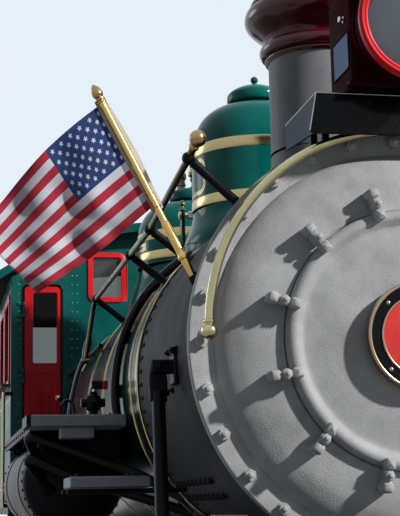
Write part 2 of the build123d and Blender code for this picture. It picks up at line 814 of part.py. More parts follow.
with BuildPart() as bell:
    turned_up([
        (0, bell_pivot_z - 20),
        (60, bell_pivot_z - 26),
        (88, bell_pivot_z - 60),
        (98, bell_pivot_z - 150),
        (120, bell_pivot_z - 205),
        (158, bell_pivot_z - 240),
        (158, bell_pivot_z - 250),
        (138, bell_pivot_z - 250),
        (104, bell_pivot_z - 205),
        (84, bell_pivot_z - 150),
        (72, bell_pivot_z - 70),
        (0, bell_pivot_z - 50),
    ], bell_x)
    block(bell_x - 18, bell_x + 18, -190, 190, bell_pivot_z - 22, bell_pivot_z + 22)
    cross_bar(bell_x, bell_pivot_z, -236, 236, 16)
save(bell, "bell")

# Headlight on its shelf
shelf_front = ring_x + 119.0
shelf_rear = ring_x - 275.0
shelf_half = 300.0
shelf_top = boiler_z + 815.0
with BuildPart() as headlight_shelf:
    block(shelf_rear, shelf_front, -shelf_half, shelf_half, shelf_top - 10, shelf_top)
    block(shelf_front - 8, shelf_front, -shelf_half - 14, shelf_half + 14, shelf_top - 140, shelf_top)
    for side in (-1, 1):
        side_plate(
            [
                (shelf_rear, shelf_top - 90),
                (shelf_front - 6, shelf_top - 130),
                (shelf_front - 6, shelf_top),
                (shelf_rear, shelf_top),
            ],
            side * (shelf_half - 8),
            side * shelf_half,
        )
        for back in (230, 90):
            block(ring_x - back, ring_x - back + 30, side * 200, side * 230, boiler_z + 600, shelf_top - 5)
    cut_round(ring_x - 300, ring_x - ring_thickness - 5, smokebox_radius)
save(headlight_shelf, "headlight_shelf")

lamp_z = boiler_z + 1010.0
lamp_front = ring_x + 310.0
lamp_rear = ring_x - 45.0
lamp_half = 200.0
lamp_top = boiler_z + 1190.0
lamp_bore = 170.0
lamp_chimney_x = ring_x + 78.0
with BuildPart() as headlight:
    block(lamp_rear, ring_x + 200, -lamp_half, lamp_half, shelf_top, lamp_top)
    bar((ring_x + 195, 0, lamp_z), (lamp_front, 0, lamp_z), lamp_bore + 20)
    turned_along([
        (lamp_front - 40, 150),
        (lamp_front - 40, 205),
        (lamp_front + 10, 205),
        (lamp_front + 10, 178),
        (lamp_front - 20, 178),
    ], 0, lamp_z)
    bar((ring_x + 40, 0, lamp_z), (lamp_front + 20, 0, lamp_z), lamp_bore, mode=Mode.SUBTRACT)
    turned_up([
        (0, lamp_top - 5),
        (150, lamp_top - 5),
        (120, lamp_top + 40),
        (80, lamp_top + 50),
        (80, lamp_top + 90),
        (100, lamp_top + 100),
        (0, lamp_top + 130),
    ], lamp_chimney_x)
save(headlight, "headlight")
with BuildPart() as headlight_lens:
    bar((lamp_front - 30, 0, lamp_z), (lamp_front - 22, 0, lamp_z), lamp_bore)
save(headlight_lens, "headlight_lens")

# Brass rail over the smokebox front, with a ball at each end
rail_x = ring_x + 72.0
rail_radius = 666.0
rail_centre_z = boiler_z + 38.0
rail_bar = 15.0
with BuildPart() as front_rail:
    with BuildSketch(Plane((rail_x, -rail_radius, rail_centre_z), x_dir=(1, 0, 0))) as section:
        Circle(rail_bar)
    revolve(section.sketch, axis=Axis((rail_x, 0, rail_centre_z), (1, 0, 0)), revolution_arc=-180)
    for side in (-1, 1):
        y = side * rail_radius
        z = rail_centre_z - 10
        ball(rail_x, y, z, rail_bar + 9)
        bar((ring_x, y, z), (rail_x, y, z), 12)
save(front_rail, "front_rail")

# Handrails on stanchions along the boiler
handrail_radius = 16.0
post_radius = 13.0
post_knob = 24.0
handrail_top = (700.0, 547.0)
with BuildPart() as handrails:
    for side in (-1, 1):
        y, z = side * handrail_top[0], boiler_z + handrail_top[1]
        route = [
            (ring_x - 15, side * 673, boiler_z + 680),
            (ring_x - 80, side * 693, boiler_z + 629),
            (ring_x - 856, y, z),
            (ring_x - 2680, y, z),
            (ring_x - 2790, side * 735, boiler_z + 250),
        ]
        for start, end in zip(route, route[1:]):
            bar(start, end, handrail_radius)
        ball(*route[0], 25)
        ball(*route[3], handrail_radius + 2)
        ball(*route[4], handrail_radius + 2)
        posts = [route[1]] + [(ring_x - back, y, z) for back in (856, 1394, 2000, 2610)]
        for x, post_y, post_z in posts:
            reach = hypot(post_y, post_z - boiler_z)
            foot = (smokebox_radius if x > jacket_front_x else jacket_radius) / reach
            bar((x, post_y * foot, boiler_z + (post_z - boiler_z) * foot), (x, post_y, post_z), post_radius)
            ball(x, post_y, post_z, post_knob)
save(handrails, "handrails")

# Flagstaffs and flags
staff_x = ring_x - 110.0
staff_foot = (678.0, 233.0)
staff_tip = (1000.0, 862.0)
staff_radius = 12.0
with BuildPart() as flagstaffs:
    for side in (-1, 1):
        bar((staff_x, side * (staff_foot[0] + 8), boiler_z + staff_foot[1] + 16),
            (staff_x, side * staff_tip[0], boiler_z + staff_tip[1]), staff_radius)
        ball(staff_x, side * staff_tip[0], boiler_z + staff_tip[1], 24)
        bar((staff_x, side * (staff_foot[0] - 10), boiler_z + staff_foot[1] - 20),
            (staff_x, side * (staff_foot[0] + 22), boiler_z + staff_foot[1] + 43), 21)
    cut_round(staff_x - 100, staff_x + 60, smokebox_radius)
save(flagstaffs, "flagstaffs")

flag_thickness = 4.0
flag_gap = 0.3
hoist_top = 640.0
hoist_length = 400.0
fly_corners = ((1199.0, 170.0), (1355.0, 385.0))
staff_run = Vector(staff_tip[0] - staff_foot[0], staff_tip[1] - staff_foot[1]).normalized()
staff_side = (staff_radius + flag_gap) * Vector(staff_run.Y, -staff_run.X)
hoist_reaches = (hoist_top, hoist_top - hoist_length)
hoist_corners = [Vector(*staff_foot) + staff_side + reach * staff_run for reach in hoist_reaches]
flag_corners = [(corner.X, corner.Y) for corner in hoist_corners] + list(fly_corners)
for side, side_name in sides:
    with BuildPart() as flag:
        cross_plate([(side * y, boiler_z + z) for y, z in flag_corners],
                    staff_x - flag_thickness / 2, staff_x + flag_thickness / 2)
    save(flag, f"flag_{side_name}")

# Running boards, stepping down ahead of the cab
board_rear_x = ring_x - 3700.0
board_front_x = ring_x - 1700.0
board_nose_x = ring_x - 1430.0
pump_bay_x = ring_x - 4130.0
board_nose_sides = (712.0, 1136.0)
step_thickness = 46.0
with BuildPart() as running_boards:
    chord = sqrt(jacket_radius**2 - (boiler_z - board_top) ** 2)
    low_chord = sqrt(jacket_radius**2 - (boiler_z - low_board_top) ** 2)
    board_low = board_top - board_thickness
    low_board_low = low_board_top - board_thickness
    for side in (-1, 1):
        block(board_rear_x, board_front_x, side * chord, side * board_outer, board_low, board_top)
        y0, y1 = [side * y for y in board_nose_sides]
        block(board_front_x, board_nose_x, y0, y1, board_top - step_thickness, board_top)
        low_front = board_rear_x if side == -1 else pump_bay_x
        block(cab_front_x, low_front, side * low_chord, side * cab_half_width, low_board_low, low_board_top)
        if side == -1:
            riser_x = board_rear_x - 12
            block(riser_x, board_rear_x, side * chord, side * cab_half_width, low_board_low, board_top)
    band_rings(band_half + 0.5, jacket_radius + band_thickness + 0.5, mode=Mode.SUBTRACT)
save(running_boards, "running_boards")

upper_step_top = 1627.0
lower_step_top = 1359.0
step_length = 270.0
upper_step_x = ring_x - 1150.0
lower_step_x = ring_x - 600.0
upper_step_sides = (691.0, 1039.0)
lower_step_sides = (700.0, 1040.0)
step_legs = (
    (380, 720, deck_top),
    (380, 1020, deck_top),
    (560, 720, steam_chest_top),
    (560, 950, steam_chest_top),
)
with BuildPart() as front_steps:
    upper_step_low = upper_step_top - step_thickness
    lower_step_low = lower_step_top - step_thickness
    for side in (-1, 1):
        y0, y1 = [side * y for y in upper_step_sides]
        block(upper_step_x, upper_step_x + step_length, y0, y1, upper_step_low, upper_step_top)
        y0, y1 = [side * y for y in lower_step_sides]
        block(lower_step_x, lower_step_x + step_length, y0, y1, lower_step_low, lower_step_top)
        for x in (upper_step_x + 40, upper_step_x + 230):
            z = upper_step_low + 9
            bar((x, side * 500, z), (x, side * 1020, z), 9)
        for back, y, foot in step_legs:
            x = ring_x - back
            block(x - 10, x + 10, side * (y - 10), side * (y + 10), foot, lower_step_low + 2)
    cut_round(ring_x - 1200, ring_x - 300, smokebox_radius)
save(front_steps, "front_steps")

tank_y = 886.0
tank_z = 1637.0
tank_radius = 230.0
tank_rear_x = ring_x - 3660.0
tank_front_x = ring_x - 1900.0
air_pipe_radius = 22.0
air_pipe_routes = (
    ((1925, 1030, 1700), (1800, 1119, 1842), (1500, 680, 1660), (1340, 490, 1540)),
    ((1915, 1000, 1590), (1850, 1120, 1750), (1700, 897, 1640), (1480, 430, 1480)),
)
with BuildPart() as air_tanks:
    for side in (-1, 1):
        turned_along([
            (tank_rear_x, 0),
            (tank_rear_x + 10, 120),
            (tank_rear_x + 50, tank_radius - 20),
            (tank_rear_x + 70, tank_radius),
            (tank_front_x - 60, tank_radius),
            (tank_front_x - 40, tank_radius - 20),
            (tank_front_x - 10, 120),
            (tank_front_x, 0),
        ], side * tank_y, tank_z)
        for x in (tank_front_x - 400, tank_rear_x + 410):
            y0 = side * (tank_y - 60)
            y1 = side * (tank_y + 60)
            block(x - 25, x + 25, y0, y1, tank_z + tank_radius - 30, board_top - board_thickness)
        for route in air_pipe_routes:
            points = [(ring_x - back, side * y, z) for back, y, z in route]
            for start, end in zip(points, points[1:]):
                bar(start, end, air_pipe_radius)
            for point in points[1:-1]:
                ball(*point, air_pipe_radius + 1)
    cut_round(jacket_front_x - 400, jacket_front_x + 30, jacket_radius)
    band_rings(band_half + 0.5, jacket_radius + band_thickness + 0.5, mode=Mode.SUBTRACT)
save(air_tanks, "air_tanks")

# Air pump on the left of the boiler, ahead of the cab
pump_x = ring_x - 3920.0
pump_y = 900.0
pump_foot = 1500.0
air_cylinder_radius = 150.0
steam_cylinder_radius = 130.0
with BuildPart() as air_pump:
    turned_up([
        (0, pump_foot),
        (air_cylinder_radius - 30, pump_foot),
        (air_cylinder_radius, pump_foot + 20),
        (air_cylinder_radius, pump_foot + 380),
        (60, pump_foot + 400),
        (60, pump_foot + 540),
        (steam_cylinder_radius, pump_foot + 560),
        (steam_cylinder_radius, pump_foot + 860),
        (steam_cylinder_radius - 20, pump_foot + 880),
        (60, pump_foot + 890),
        (60, pump_foot + 930),
        (0, pump_foot + 930),
    ], pump_x, pump_y)
    for bracket_z in (pump_foot + 200, pump_foot + 600):
        block(pump_x - 60, pump_x + 60, 600, pump_y, bracket_z, bracket_z + 40)
    cut_round(pump_x - 200, pump_x + 200, jacket_radius)
save(air_pump, "air_pump")

# Braces from the deck up to the smokebox sides
brace_foot = (ring_x - 42.0, 800.0, deck_top + 20.0)
brace_head = (ring_x - 415.0, 752.0, boiler_z - 40.0)
brace_radius = 24.0
with BuildPart() as smokebox_braces:
    foot_x, foot_y, foot_z = brace_foot
    head_x, head_y, head_z = brace_head
    for side in (-1, 1):
        block(foot_x - 38, foot_x + 42, side * (foot_y - 35), side * (foot_y + 35), deck_top, deck_top + 30)
        bar((foot_x, side * foot_y, foot_z), (head_x, side * head_y, head_z), brace_radius)
        ball(head_x, side * head_y, head_z, brace_radius)
        block(head_x - 45, head_x + 45, side * 660, side * (head_y + 13), head_z - 5, head_z + 25)
    cut_round(ring_x - 600, ring_x - 200, smokebox_radius)
save(smokebox_braces, "smokebox_braces")

# Pilot beam with deck, pilot and coupler
beam_half = 1050.0
beam_low = 720.0
deck_rear_x = ring_x - 420.0
deck_thickness = 20.0
with BuildPart() as pilot_beam:
    deck_low = deck_top - deck_thickness
    block(frame_front_x, beam_front_x, -beam_half, beam_half, beam_low, deck_low - 21)
    block(deck_rear_x, beam_front_x + 30, -beam_half, beam_half, deck_low, deck_top)
    for side in (-1, 1):
        block(deck_rear_x, frame_front_x, side * frame_inner, side * frame_outer, frame_top, deck_low)
save(pilot_beam, "pilot_beam")

pilot_tip_x = ring_x + 1210.0
pilot_half = 980.0
pilot_foot_z = 95.0
pilot_bars_each_side = 9
pilot_rear_x = beam_front_x - 60.0
with BuildPart() as pilot:
    block(beam_front_x - 100, beam_front_x + 60, -pilot_half, pilot_half, beam_low - 60, beam_low)
    for side in (-1, 1):
        corner = (pilot_rear_x, side * pilot_half, pilot_foot_z)
        bar((pilot_tip_x, 0, pilot_foot_z), corner, 26)
        for index in range(pilot_bars_each_side + 1):
            share = index / pilot_bars_each_side
            foot_x = pilot_tip_x + (pilot_rear_x - pilot_tip_x) * share
            head = (beam_front_x + 30, side * (60 + 900 * share), beam_low - 30)
            bar((foot_x, side * pilot_half * share, pilot_foot_z), head, 17)
        ball(*corner, 26)
        bar(corner, (pilot_rear_x, side * (pilot_half - 20), beam_low - 30), 20)
    ball(pilot_tip_x, 0, pilot_foot_z, 30)
    bar((pilot_rear_x, -pilot_half, pilot_foot_z), (pilot_rear_x, pilot_half, pilot_foot_z), 26)
save(pilot, "pilot")

coupler_z = 845.0
with BuildPart() as front_coupler:
    block(beam_front_x, beam_front_x + 40, -150, 150, coupler_z - 110, coupler_z + 110)
    block(beam_front_x + 30, beam_front_x + 240, -60, 60, coupler_z - 65, coupler_z + 65)
    block(beam_front_x + 230, beam_front_x + 340, -130, 110, coupler_z - 110, coupler_z + 110)
    mouth_x = beam_front_x + 290
    block(mouth_x, mouth_x + 55, -60, 60, coupler_z - 111, coupler_z + 111, mode=Mode.SUBTRACT)
save(front_coupler, "front_coupler")

# Cab
door_inner_y = jacket_radius + 10.0
door_outer_y = cab_half_width - 75.0
door_bottom = low_board_top + 12
door_top = boiler_z + 915.0
door_thickness = 28.0
door_pin_radius = 6.0
hinge_barrel = 30.0
hinge_lug = 16.0
hinge_radius = 11.0
door_hinge_x = cab_front_x + 12.0
door_hinge_heights = (door_bottom + 160, door_bottom + 640, door_top - 160)
front_window = (275.0, 510.0, boiler_z + 822, boiler_z + 1112)


def roof_z(y, lift=0.0):
    rise = roof_crown - eave_z
    arc_radius = (cab_half_width**2 + rise**2) / (2 * rise)
    return roof_crown - arc_radius + sqrt((arc_radius + lift) ** 2 - y**2)


with BuildPart() as cab_front:
    with BuildSketch(Plane((cab_front_x - cab_wall, 0, 0), x_dir=(0, 1, 0), z_dir=(1, 0, 0))) as wall:
        with BuildLine():
            Line((-cab_half_width, cab_floor_top), (cab_half_width, cab_floor_top))
            Line((cab_half_width, cab_floor_top), (cab_half_width, eave_z))
            ThreePointArc((cab_half_width, eave_z), (0, roof_crown), (-cab_half_width, eave_z))
            Line((-cab_half_width, eave_z), (-cab_half_width, cab_floor_top))
        make_face()
        with Locations((0, boiler_z)):
            Circle(jacket_radius, mode=Mode.SUBTRACT)
        with Locations((0, (cab_floor_top + boiler_z) / 2)):
            Rectangle(2 * firebox_half_width, boiler_z - cab_floor_top, mode=Mode.SUBTRACT)
        for side in (-1, 1):
            y0, y1, z0, z1 = front_window
            with Locations((side * (y0 + y1) / 2, (z0 + z1) / 2)):
                Rectangle(y1 - y0, z1 - z0, mode=Mode.SUBTRACT)
            with Locations((side * (door_inner_y + door_outer_y) / 2, (door_bottom + door_top) / 2)):
                Rectangle(door_outer_y - door_inner_y, door_top - door_bottom, mode=Mode.SUBTRACT)
    extrude(wall.sketch, amount=cab_wall)
    for side in (-1, 1):
        y_hinge = side * door_outer_y
        for z in door_hinge_heights:
            reach = hinge_barrel + hinge_lug
            bar((door_hinge_x, y_hinge, z - reach), (door_hinge_x, y_hinge, z + reach), door_pin_radius)
            for end in (-1, 1):
                low, high = sorted((z + end * (hinge_barrel + bearing_gap), z + end * reach))
                bar((door_hinge_x, y_hinge, low), (door_hinge_x, y_hinge, high), hinge_radius)
                block(cab_front_x - 2, door_hinge_x, y_hinge, side * (door_outer_y + 40), low, high)
save(cab_front, "cab_front")

side_windows = ((cab_front_x - 160, cab_front_x - 640), (cab_front_x - 760, cab_front_x - 1240))
side_window_low = 2330.0
side_window_high = 2880.0
rear_post_depth = 160.0
for side, side_name in sides:
    with BuildPart() as cab_side:
        inner = side * (cab_half_width - cab_wall)
        outer = side * cab_half_width
        block(cab_rear_x, cab_front_x - cab_wall, inner, outer, cab_floor_top, eave_z)
        post_inner = side * (cab_half_width - rear_post_depth)
        block(cab_rear_x, cab_rear_x + cab_wall, post_inner, inner, cab_floor_top, eave_z)
        for x0, x1 in side_windows:
            block(x0, x1, inner - side, outer + side, side_window_low, side_window_high, mode=Mode.SUBTRACT)
    save(cab_side, f"cab_side_{side_name}")

roof_thickness = 25.0
roof_half = cab_half_width + 85.0
roof_vent = (cab_rear_x + 500.0, cab_rear_x + 950.0, 260.0, roof_crown + 70.0)
with BuildPart() as cab_roof:
    with BuildSketch(Plane((cab_rear_x - 110, 0, 0), x_dir=(0, 1, 0), z_dir=(1, 0, 0))) as roof:
        with BuildLine():
            low_end = (roof_half, roof_z(roof_half))
            high_end = (roof_half, roof_z(roof_half, roof_thickness))
            ThreePointArc((-roof_half, low_end[1]), (0, roof_crown), low_end)
            Line(low_end, high_end)
            ThreePointArc(high_end, (0, roof_crown + roof_thickness), (-roof_half, high_end[1]))
            Line((-roof_half, high_end[1]), (-roof_half, low_end[1]))
        make_face()
    extrude(roof.sketch, amount=cab_length + 220)
    vent_rear_x, vent_front_x, vent_half, vent_top = roof_vent
    block(vent_rear_x, vent_front_x, -vent_half, vent_half, roof_crown - 5, vent_top)
save(cab_roof, "cab_roof")

step_heights = (470.0, 830.0, 1180.0)
with BuildPart() as cab_floor:
    floor_bottom = cab_floor_top - 45
    floor_half = cab_half_width + 20
    block(cab_rear_x - 60, cab_front_x + 60, -floor_half, floor_half, floor_bottom, cab_floor_top)
    for side in (-1, 1):
        for x in (cab_rear_x + 60, cab_front_x - 200):
            block(x - 30, x + 30, side * frame_inner, side * frame_outer, frame_top, floor_bottom)
        for x in (cab_rear_x - 20, cab_rear_x + 280):
            block(x - 6, x + 6, side * 900, side * 960, step_heights[0], floor_bottom)
        for z in step_heights:
            block(cab_rear_x - 14, cab_rear_x + 274, side * 840, side * 1030, z, z + 25)
    cut_round(backhead_x, cab_front_x + 200, jacket_radius)
    block(backhead_x, cab_front_x + 200, -firebox_half_width, firebox_half_width,
          floor_bottom - 5, cab_floor_top + 5, mode=Mode.SUBTRACT)
save(cab_floor, "cab_floor")

glass_thickness = 6.0
door_gap = 5.0
door_glass = (door_inner_y + 60, door_outer_y - 50, boiler_z + 400, boiler_z + 845)
for side, side_name in sides:
    y_hinge = side * door_outer_y
    with BuildPart() as cab_door:
        block(cab_front_x - door_thickness, cab_front_x, side * (door_inner_y + door_gap),
              side * (door_outer_y - door_gap), door_bottom + door_gap, door_top - door_gap)
        block(cab_front_x - door_thickness - 1, cab_front_x + 1, side * door_glass[0], side * door_glass[1],
              door_glass[2], door_glass[3], mode=Mode.SUBTRACT)
        handle_z = door_bottom + 500
        handle_y = side * (door_inner_y + 40)
        bar((cab_front_x, handle_y, handle_z), (cab_front_x + 45, handle_y, handle_z), 9)
        ball(cab_front_x + 52, handle_y, handle_z, 18)
        for z in door_hinge_heights:
            block(cab_front_x, cab_front_x + 6, side * (door_outer_y - 130), y_hinge, z - 22, z + 22)
            low, high = z - hinge_barrel, z + hinge_barrel
            bar((door_hinge_x, y_hinge, low), (door_hinge_x, y_hinge, high), hinge_radius)
        for z in door_hinge_heights:
            low, high = z - hinge_barrel - 1, z + hinge_barrel + 1
            bar((door_hinge_x, y_hinge, low), (door_hinge_x, y_hinge, high),
                door_pin_radius + bearing_gap, mode=Mode.SUBTRACT)
    save(cab_door, f"cab_door_{side_name}")
    with BuildPart() as door_pane:
        middle = cab_front_x - door_thickness / 2
        y0, y1, z0, z1 = door_glass
        block(middle - glass_thickness / 2, middle + glass_thickness / 2, side * y0, side * y1, z0, z1)
    save(door_pane, f"cab_door_pane_{side_name}")

with BuildPart() as cab_panes:
    middle = cab_front_x - cab_wall / 2
    for side in (-1, 1):
        y0, y1, z0, z1 = front_window
        block(middle - glass_thickness / 2, middle + glass_thickness / 2, side * y0, side * y1, z0, z1)
        x0, x1 = side_windows[0]
        y0 = side * (cab_half_width - cab_wall / 2 - glass_thickness / 2)
        y1 = side * (cab_half_width - cab_wall / 2 + glass_thickness / 2)
        block(x0, x1, y0, y1, side_window_low, side_window_high)
save(cab_panes, "cab_panes")

# Fire door, two gauges on their stems and the throttle on the backhead
fire_door_z = boiler_z - 100.0
gauges = ((-120.0, boiler_z + 350.0, 85.0), (150.0, boiler_z + 330.0, 65.0))
with BuildPart() as backhead_fittings:
    bar((backhead_x - 60, 0, fire_door_z), (backhead_x, 0, fire_door_z), 170)
    for y, z, radius in gauges:
        bar((backhead_x - 90, y, z), (backhead_x - 30, y, z), radius)
        bar((backhead_x - 30, y, z), (backhead_x, y, z), 20)
    bar((backhead_x - 70, -60, boiler_z + 120), (backhead_x, -60, boiler_z + 120), 30)
    bar((backhead_x - 70, -60, boiler_z + 120), (backhead_x - 90, -480, boiler_z + 150), 14)
save(backhead_fittings, "backhead_fittings")

# Seat boxes with their cushions along the cab sides
seat_height = 420.0
cushion_height = 80.0
seat_depth = 235.0
with BuildPart() as cab_seats:
    x0 = cab_rear_x + 160
    x1 = cab_rear_x + 620
    seat_top = cab_floor_top + seat_height
    for side in (-1, 1):
        wall = side * (cab_half_width - cab_wall)
        block(x0, x1, wall - side * seat_depth, wall, cab_floor_top, seat_top)
        block(x0, x1, wall - side * (seat_depth + 15), wall, seat_top, seat_top + cushion_height)
save(cab_seats, "cab_seats")
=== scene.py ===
"""The looks of a narrow gauge ten-wheel steam locomotive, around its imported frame.

Metres. X runs forward, Y to the left of the engine, Z up, as in the frame.
"""

import math
import random
from functools import partial

import bpy
from mathutils import Matrix, Vector


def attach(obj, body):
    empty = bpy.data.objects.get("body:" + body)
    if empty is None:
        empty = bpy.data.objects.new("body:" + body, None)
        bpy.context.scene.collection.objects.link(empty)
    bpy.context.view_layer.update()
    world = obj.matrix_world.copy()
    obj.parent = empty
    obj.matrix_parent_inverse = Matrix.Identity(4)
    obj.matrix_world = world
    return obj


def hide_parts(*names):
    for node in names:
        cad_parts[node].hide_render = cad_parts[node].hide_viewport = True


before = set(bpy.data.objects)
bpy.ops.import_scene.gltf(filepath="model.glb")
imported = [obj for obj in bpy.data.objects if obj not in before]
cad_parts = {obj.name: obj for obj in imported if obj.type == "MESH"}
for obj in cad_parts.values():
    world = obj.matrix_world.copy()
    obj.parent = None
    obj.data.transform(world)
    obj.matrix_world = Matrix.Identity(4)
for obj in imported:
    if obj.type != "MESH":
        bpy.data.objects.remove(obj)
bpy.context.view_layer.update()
random.seed(4)

# Places on the engine that more than one piece uses
ring_x = 2.445
boiler_z = 2.025
ring_radius = 0.72
smokebox_radius = 0.69
jacket_radius = 0.696
jacket_front_x = ring_x - 1.255
jacket_rear_x = ring_x - 5.48
stack_x = ring_x - 0.855
sand_dome_x = ring_x - 1.914
steam_dome_x = ring_x - 3.55
bell_x = ring_x - 2.73
cab_front_x = ring_x - 4.42
main_axle_x = ring_x - 4.13
driver_spacing = 1.23
driver_radius = 0.5715
axle_z = 0.5965
truck_axle_z = 0.355
cylinder_y = 0.76
sides = (("right", -1), ("left", 1))

# The photo's eye, from which the flags' cloth is laid out too
camera_place = Vector((6.6296, -1.5242, 1.5037))


# Finishes

def new_group(name, inputs, outputs):
    """A shader node group with number sockets, and its two ends."""
    group = bpy.data.node_groups.new(name, "ShaderNodeTree")
    for label, value in inputs.items():
        group.interface.new_socket(label, in_out="INPUT",
            socket_type="NodeSocketFloat").default_value = value
    for label in outputs:
        group.interface.new_socket(label, in_out="OUTPUT", socket_type="NodeSocketFloat")
    return group, group.nodes.new("NodeGroupInput"), group.nodes.new("NodeGroupOutput")


def feed(tree, socket, value):
    """Sets a socket to a number or a colour, or links another node's output to it."""
    if isinstance(value, (int, float)):
        socket.default_value = value
    elif isinstance(value, tuple):
        socket.default_value = (*value, 1.0)
    else:
        tree.links.new(value, socket)


def math_node(tree, operation, *values, clamp=False):
    node = tree.nodes.new("ShaderNodeMath")
    node.operation = operation
    node.use_clamp = clamp
    for socket, value in zip(node.inputs, values):
        feed(tree, socket, value)
    return node.outputs[0]


def mixed(tree, factor, first, second, kind="MIX"):
    node = tree.nodes.new("ShaderNodeMix")
    node.data_type = "RGBA"
    node.blend_type = kind
    for index, value in ((0, factor), (6, first), (7, second)):
        feed(tree, node.inputs[index], value)
    return node.outputs[2]


def noise(tree, coordinates, scale, detail, roughness, stretch=None):
    if stretch:
        mapping = tree.nodes.new("ShaderNodeMapping")
        mapping.inputs["Scale"].default_value = stretch
        tree.links.new(coordinates, mapping.inputs["Vector"])
        coordinates = mapping.outputs["Vector"]
    node = tree.nodes.new("ShaderNodeTexNoise")
    for label, value in (("Vector", coordinates), ("Scale", scale), ("Detail", detail),
            ("Roughness", roughness)):
        feed(tree, node.inputs[label], value)
    return node.outputs["Fac"]


def ranged(tree, value, low, high, to_low=0.0, to_high=1.0):
    node = tree.nodes.new("ShaderNodeMapRange")
    for socket, given in zip(node.inputs, (value, low, high, to_low, to_high)):
        feed(tree, socket, given)
    return node.outputs[0]


def object_place(tree):
    return tree.nodes.new("ShaderNodeTexCoord").outputs["Object"]


def parts_of(tree, vector):
    split = tree.nodes.new("ShaderNodeSeparateXYZ")
    tree.links.new(vector, split.inputs[0])
    return split.outputs


def make_surface_group():
    """Brushed or sprayed skin: a fine grain, soft dents under it, and a mottle for its colour."""
    group, start, end = new_group("paint_skin", {"Grain Scale": 300.0, "Grain": 0.3, "Dents": 0.3},
        ("Height", "Mottle"))
    place = object_place(group)
    grain = noise(group, place, start.outputs["Grain Scale"], 2.0, 0.6)
    dents = noise(group, place, 14.0, 3.0, 0.5)
    height = math_node(group, "MULTIPLY", grain, start.outputs["Grain"])
    height = math_node(group, "MULTIPLY_ADD", dents, start.outputs["Dents"], height)
    group.links.new(height, end.inputs["Height"])
    group.links.new(noise(group, place, 5.0, 6.0, 0.65), end.inputs["Mottle"])
    return group


def make_weather_group():
    """Dust on what faces up or lies low, streaks down the sides, and bright worn edges."""
    group, start, end = new_group("weather", {"Dust": 0.3, "Wear": 0.3}, ("Dust Mask", "Wear Mask"))
    place = object_place(group)
    geometry = group.nodes.new("ShaderNodeNewGeometry").outputs
    up = ranged(group, parts_of(group, geometry["Normal"])[2], 0.25, 1.0)
    low = ranged(group, parts_of(group, place)[2], 1.3, 0.2, 0.0, 0.6)
    cover = math_node(group, "ADD", up, low, clamp=True)
    cloud = ranged(group, noise(group, place, 9.0, 6.0, 0.7), 0.38, 0.72)
    streak = ranged(group, noise(group, place, 3.0, 4.0, 0.6, (9.0, 9.0, 0.7)), 0.55, 0.8, 0.0, 0.5)
    dust = math_node(group, "MULTIPLY", math_node(group, "ADD", cloud, 0.25), cover)
    dust = math_node(group, "ADD", dust, math_node(group, "MULTIPLY", streak, 0.35))
    dust = math_node(group, "MULTIPLY", dust, start.outputs["Dust"], clamp=True)
    edge = ranged(group, geometry["Pointiness"], 0.52, 0.62)
    chips = ranged(group, noise(group, place, 60.0, 4.0, 0.7), 0.42, 0.62)
    wear = math_node(group, "MULTIPLY", edge, chips)
    wear = math_node(group, "MULTIPLY", wear, start.outputs["Wear"], clamp=True)
    group.links.new(dust, end.inputs["Dust Mask"])
    group.links.new(wear, end.inputs["Wear Mask"])
    return group


def make_polish_group():
    """Rubbed metal: fine scratches along one way, and tarnish in soft patches."""
    group, start, end = new_group("polish", {"Tarnish": 0.4, "Scratches": 0.2}, ("Tarnish Mask", "Height"))
    place = object_place(group)
    patch = ranged(group, noise(group, place, 11.0, 6.0, 0.65), 0.4, 0.75)
    lines = noise(group, place, 40.0, 3.0, 0.7, (1.0, 14.0, 14.0))
    group.links.new(math_node(group, "MULTIPLY", patch, start.outputs["Tarnish"]),
        end.inputs["Tarnish Mask"])
    group.links.new(math_node(group, "MULTIPLY", lines, start.outputs["Scratches"]), end.inputs["Height"])
    return group


skin_group = make_surface_group()
weather_group = make_weather_group()
polish_group = make_polish_group()


def set_inputs(node, **values):
    """Sets a node's inputs by their labels, in which an underscore stands for a space."""
    for label, value in values.items():
        node.inputs[label.replace("_", " ")].default_value = value


def placed_group(tree, group, **values):
    node = tree.nodes.new("ShaderNodeGroup")
    node.node_tree = group
    set_inputs(node, **values)
    return node


def new_material(name, roughness, metallic=0.0, coat=0.0):
    material = bpy.data.materials.new(name)
    material.use_nodes = True
    shader = material.node_tree.nodes["Principled BSDF"]
    set_inputs(shader, Roughness=roughness, Metallic=metallic, Coat_Weight=coat, Coat_Roughness=0.06)
    return material, material.node_tree, shader


def bumped(tree, shader, height, distance):
    bump = tree.nodes.new("ShaderNodeBump")
    set_inputs(bump, Distance=distance, Strength=1.0)
    tree.links.new(height, bump.inputs["Height"])
    tree.links.new(bump.outputs["Normal"], shader.inputs["Normal"])


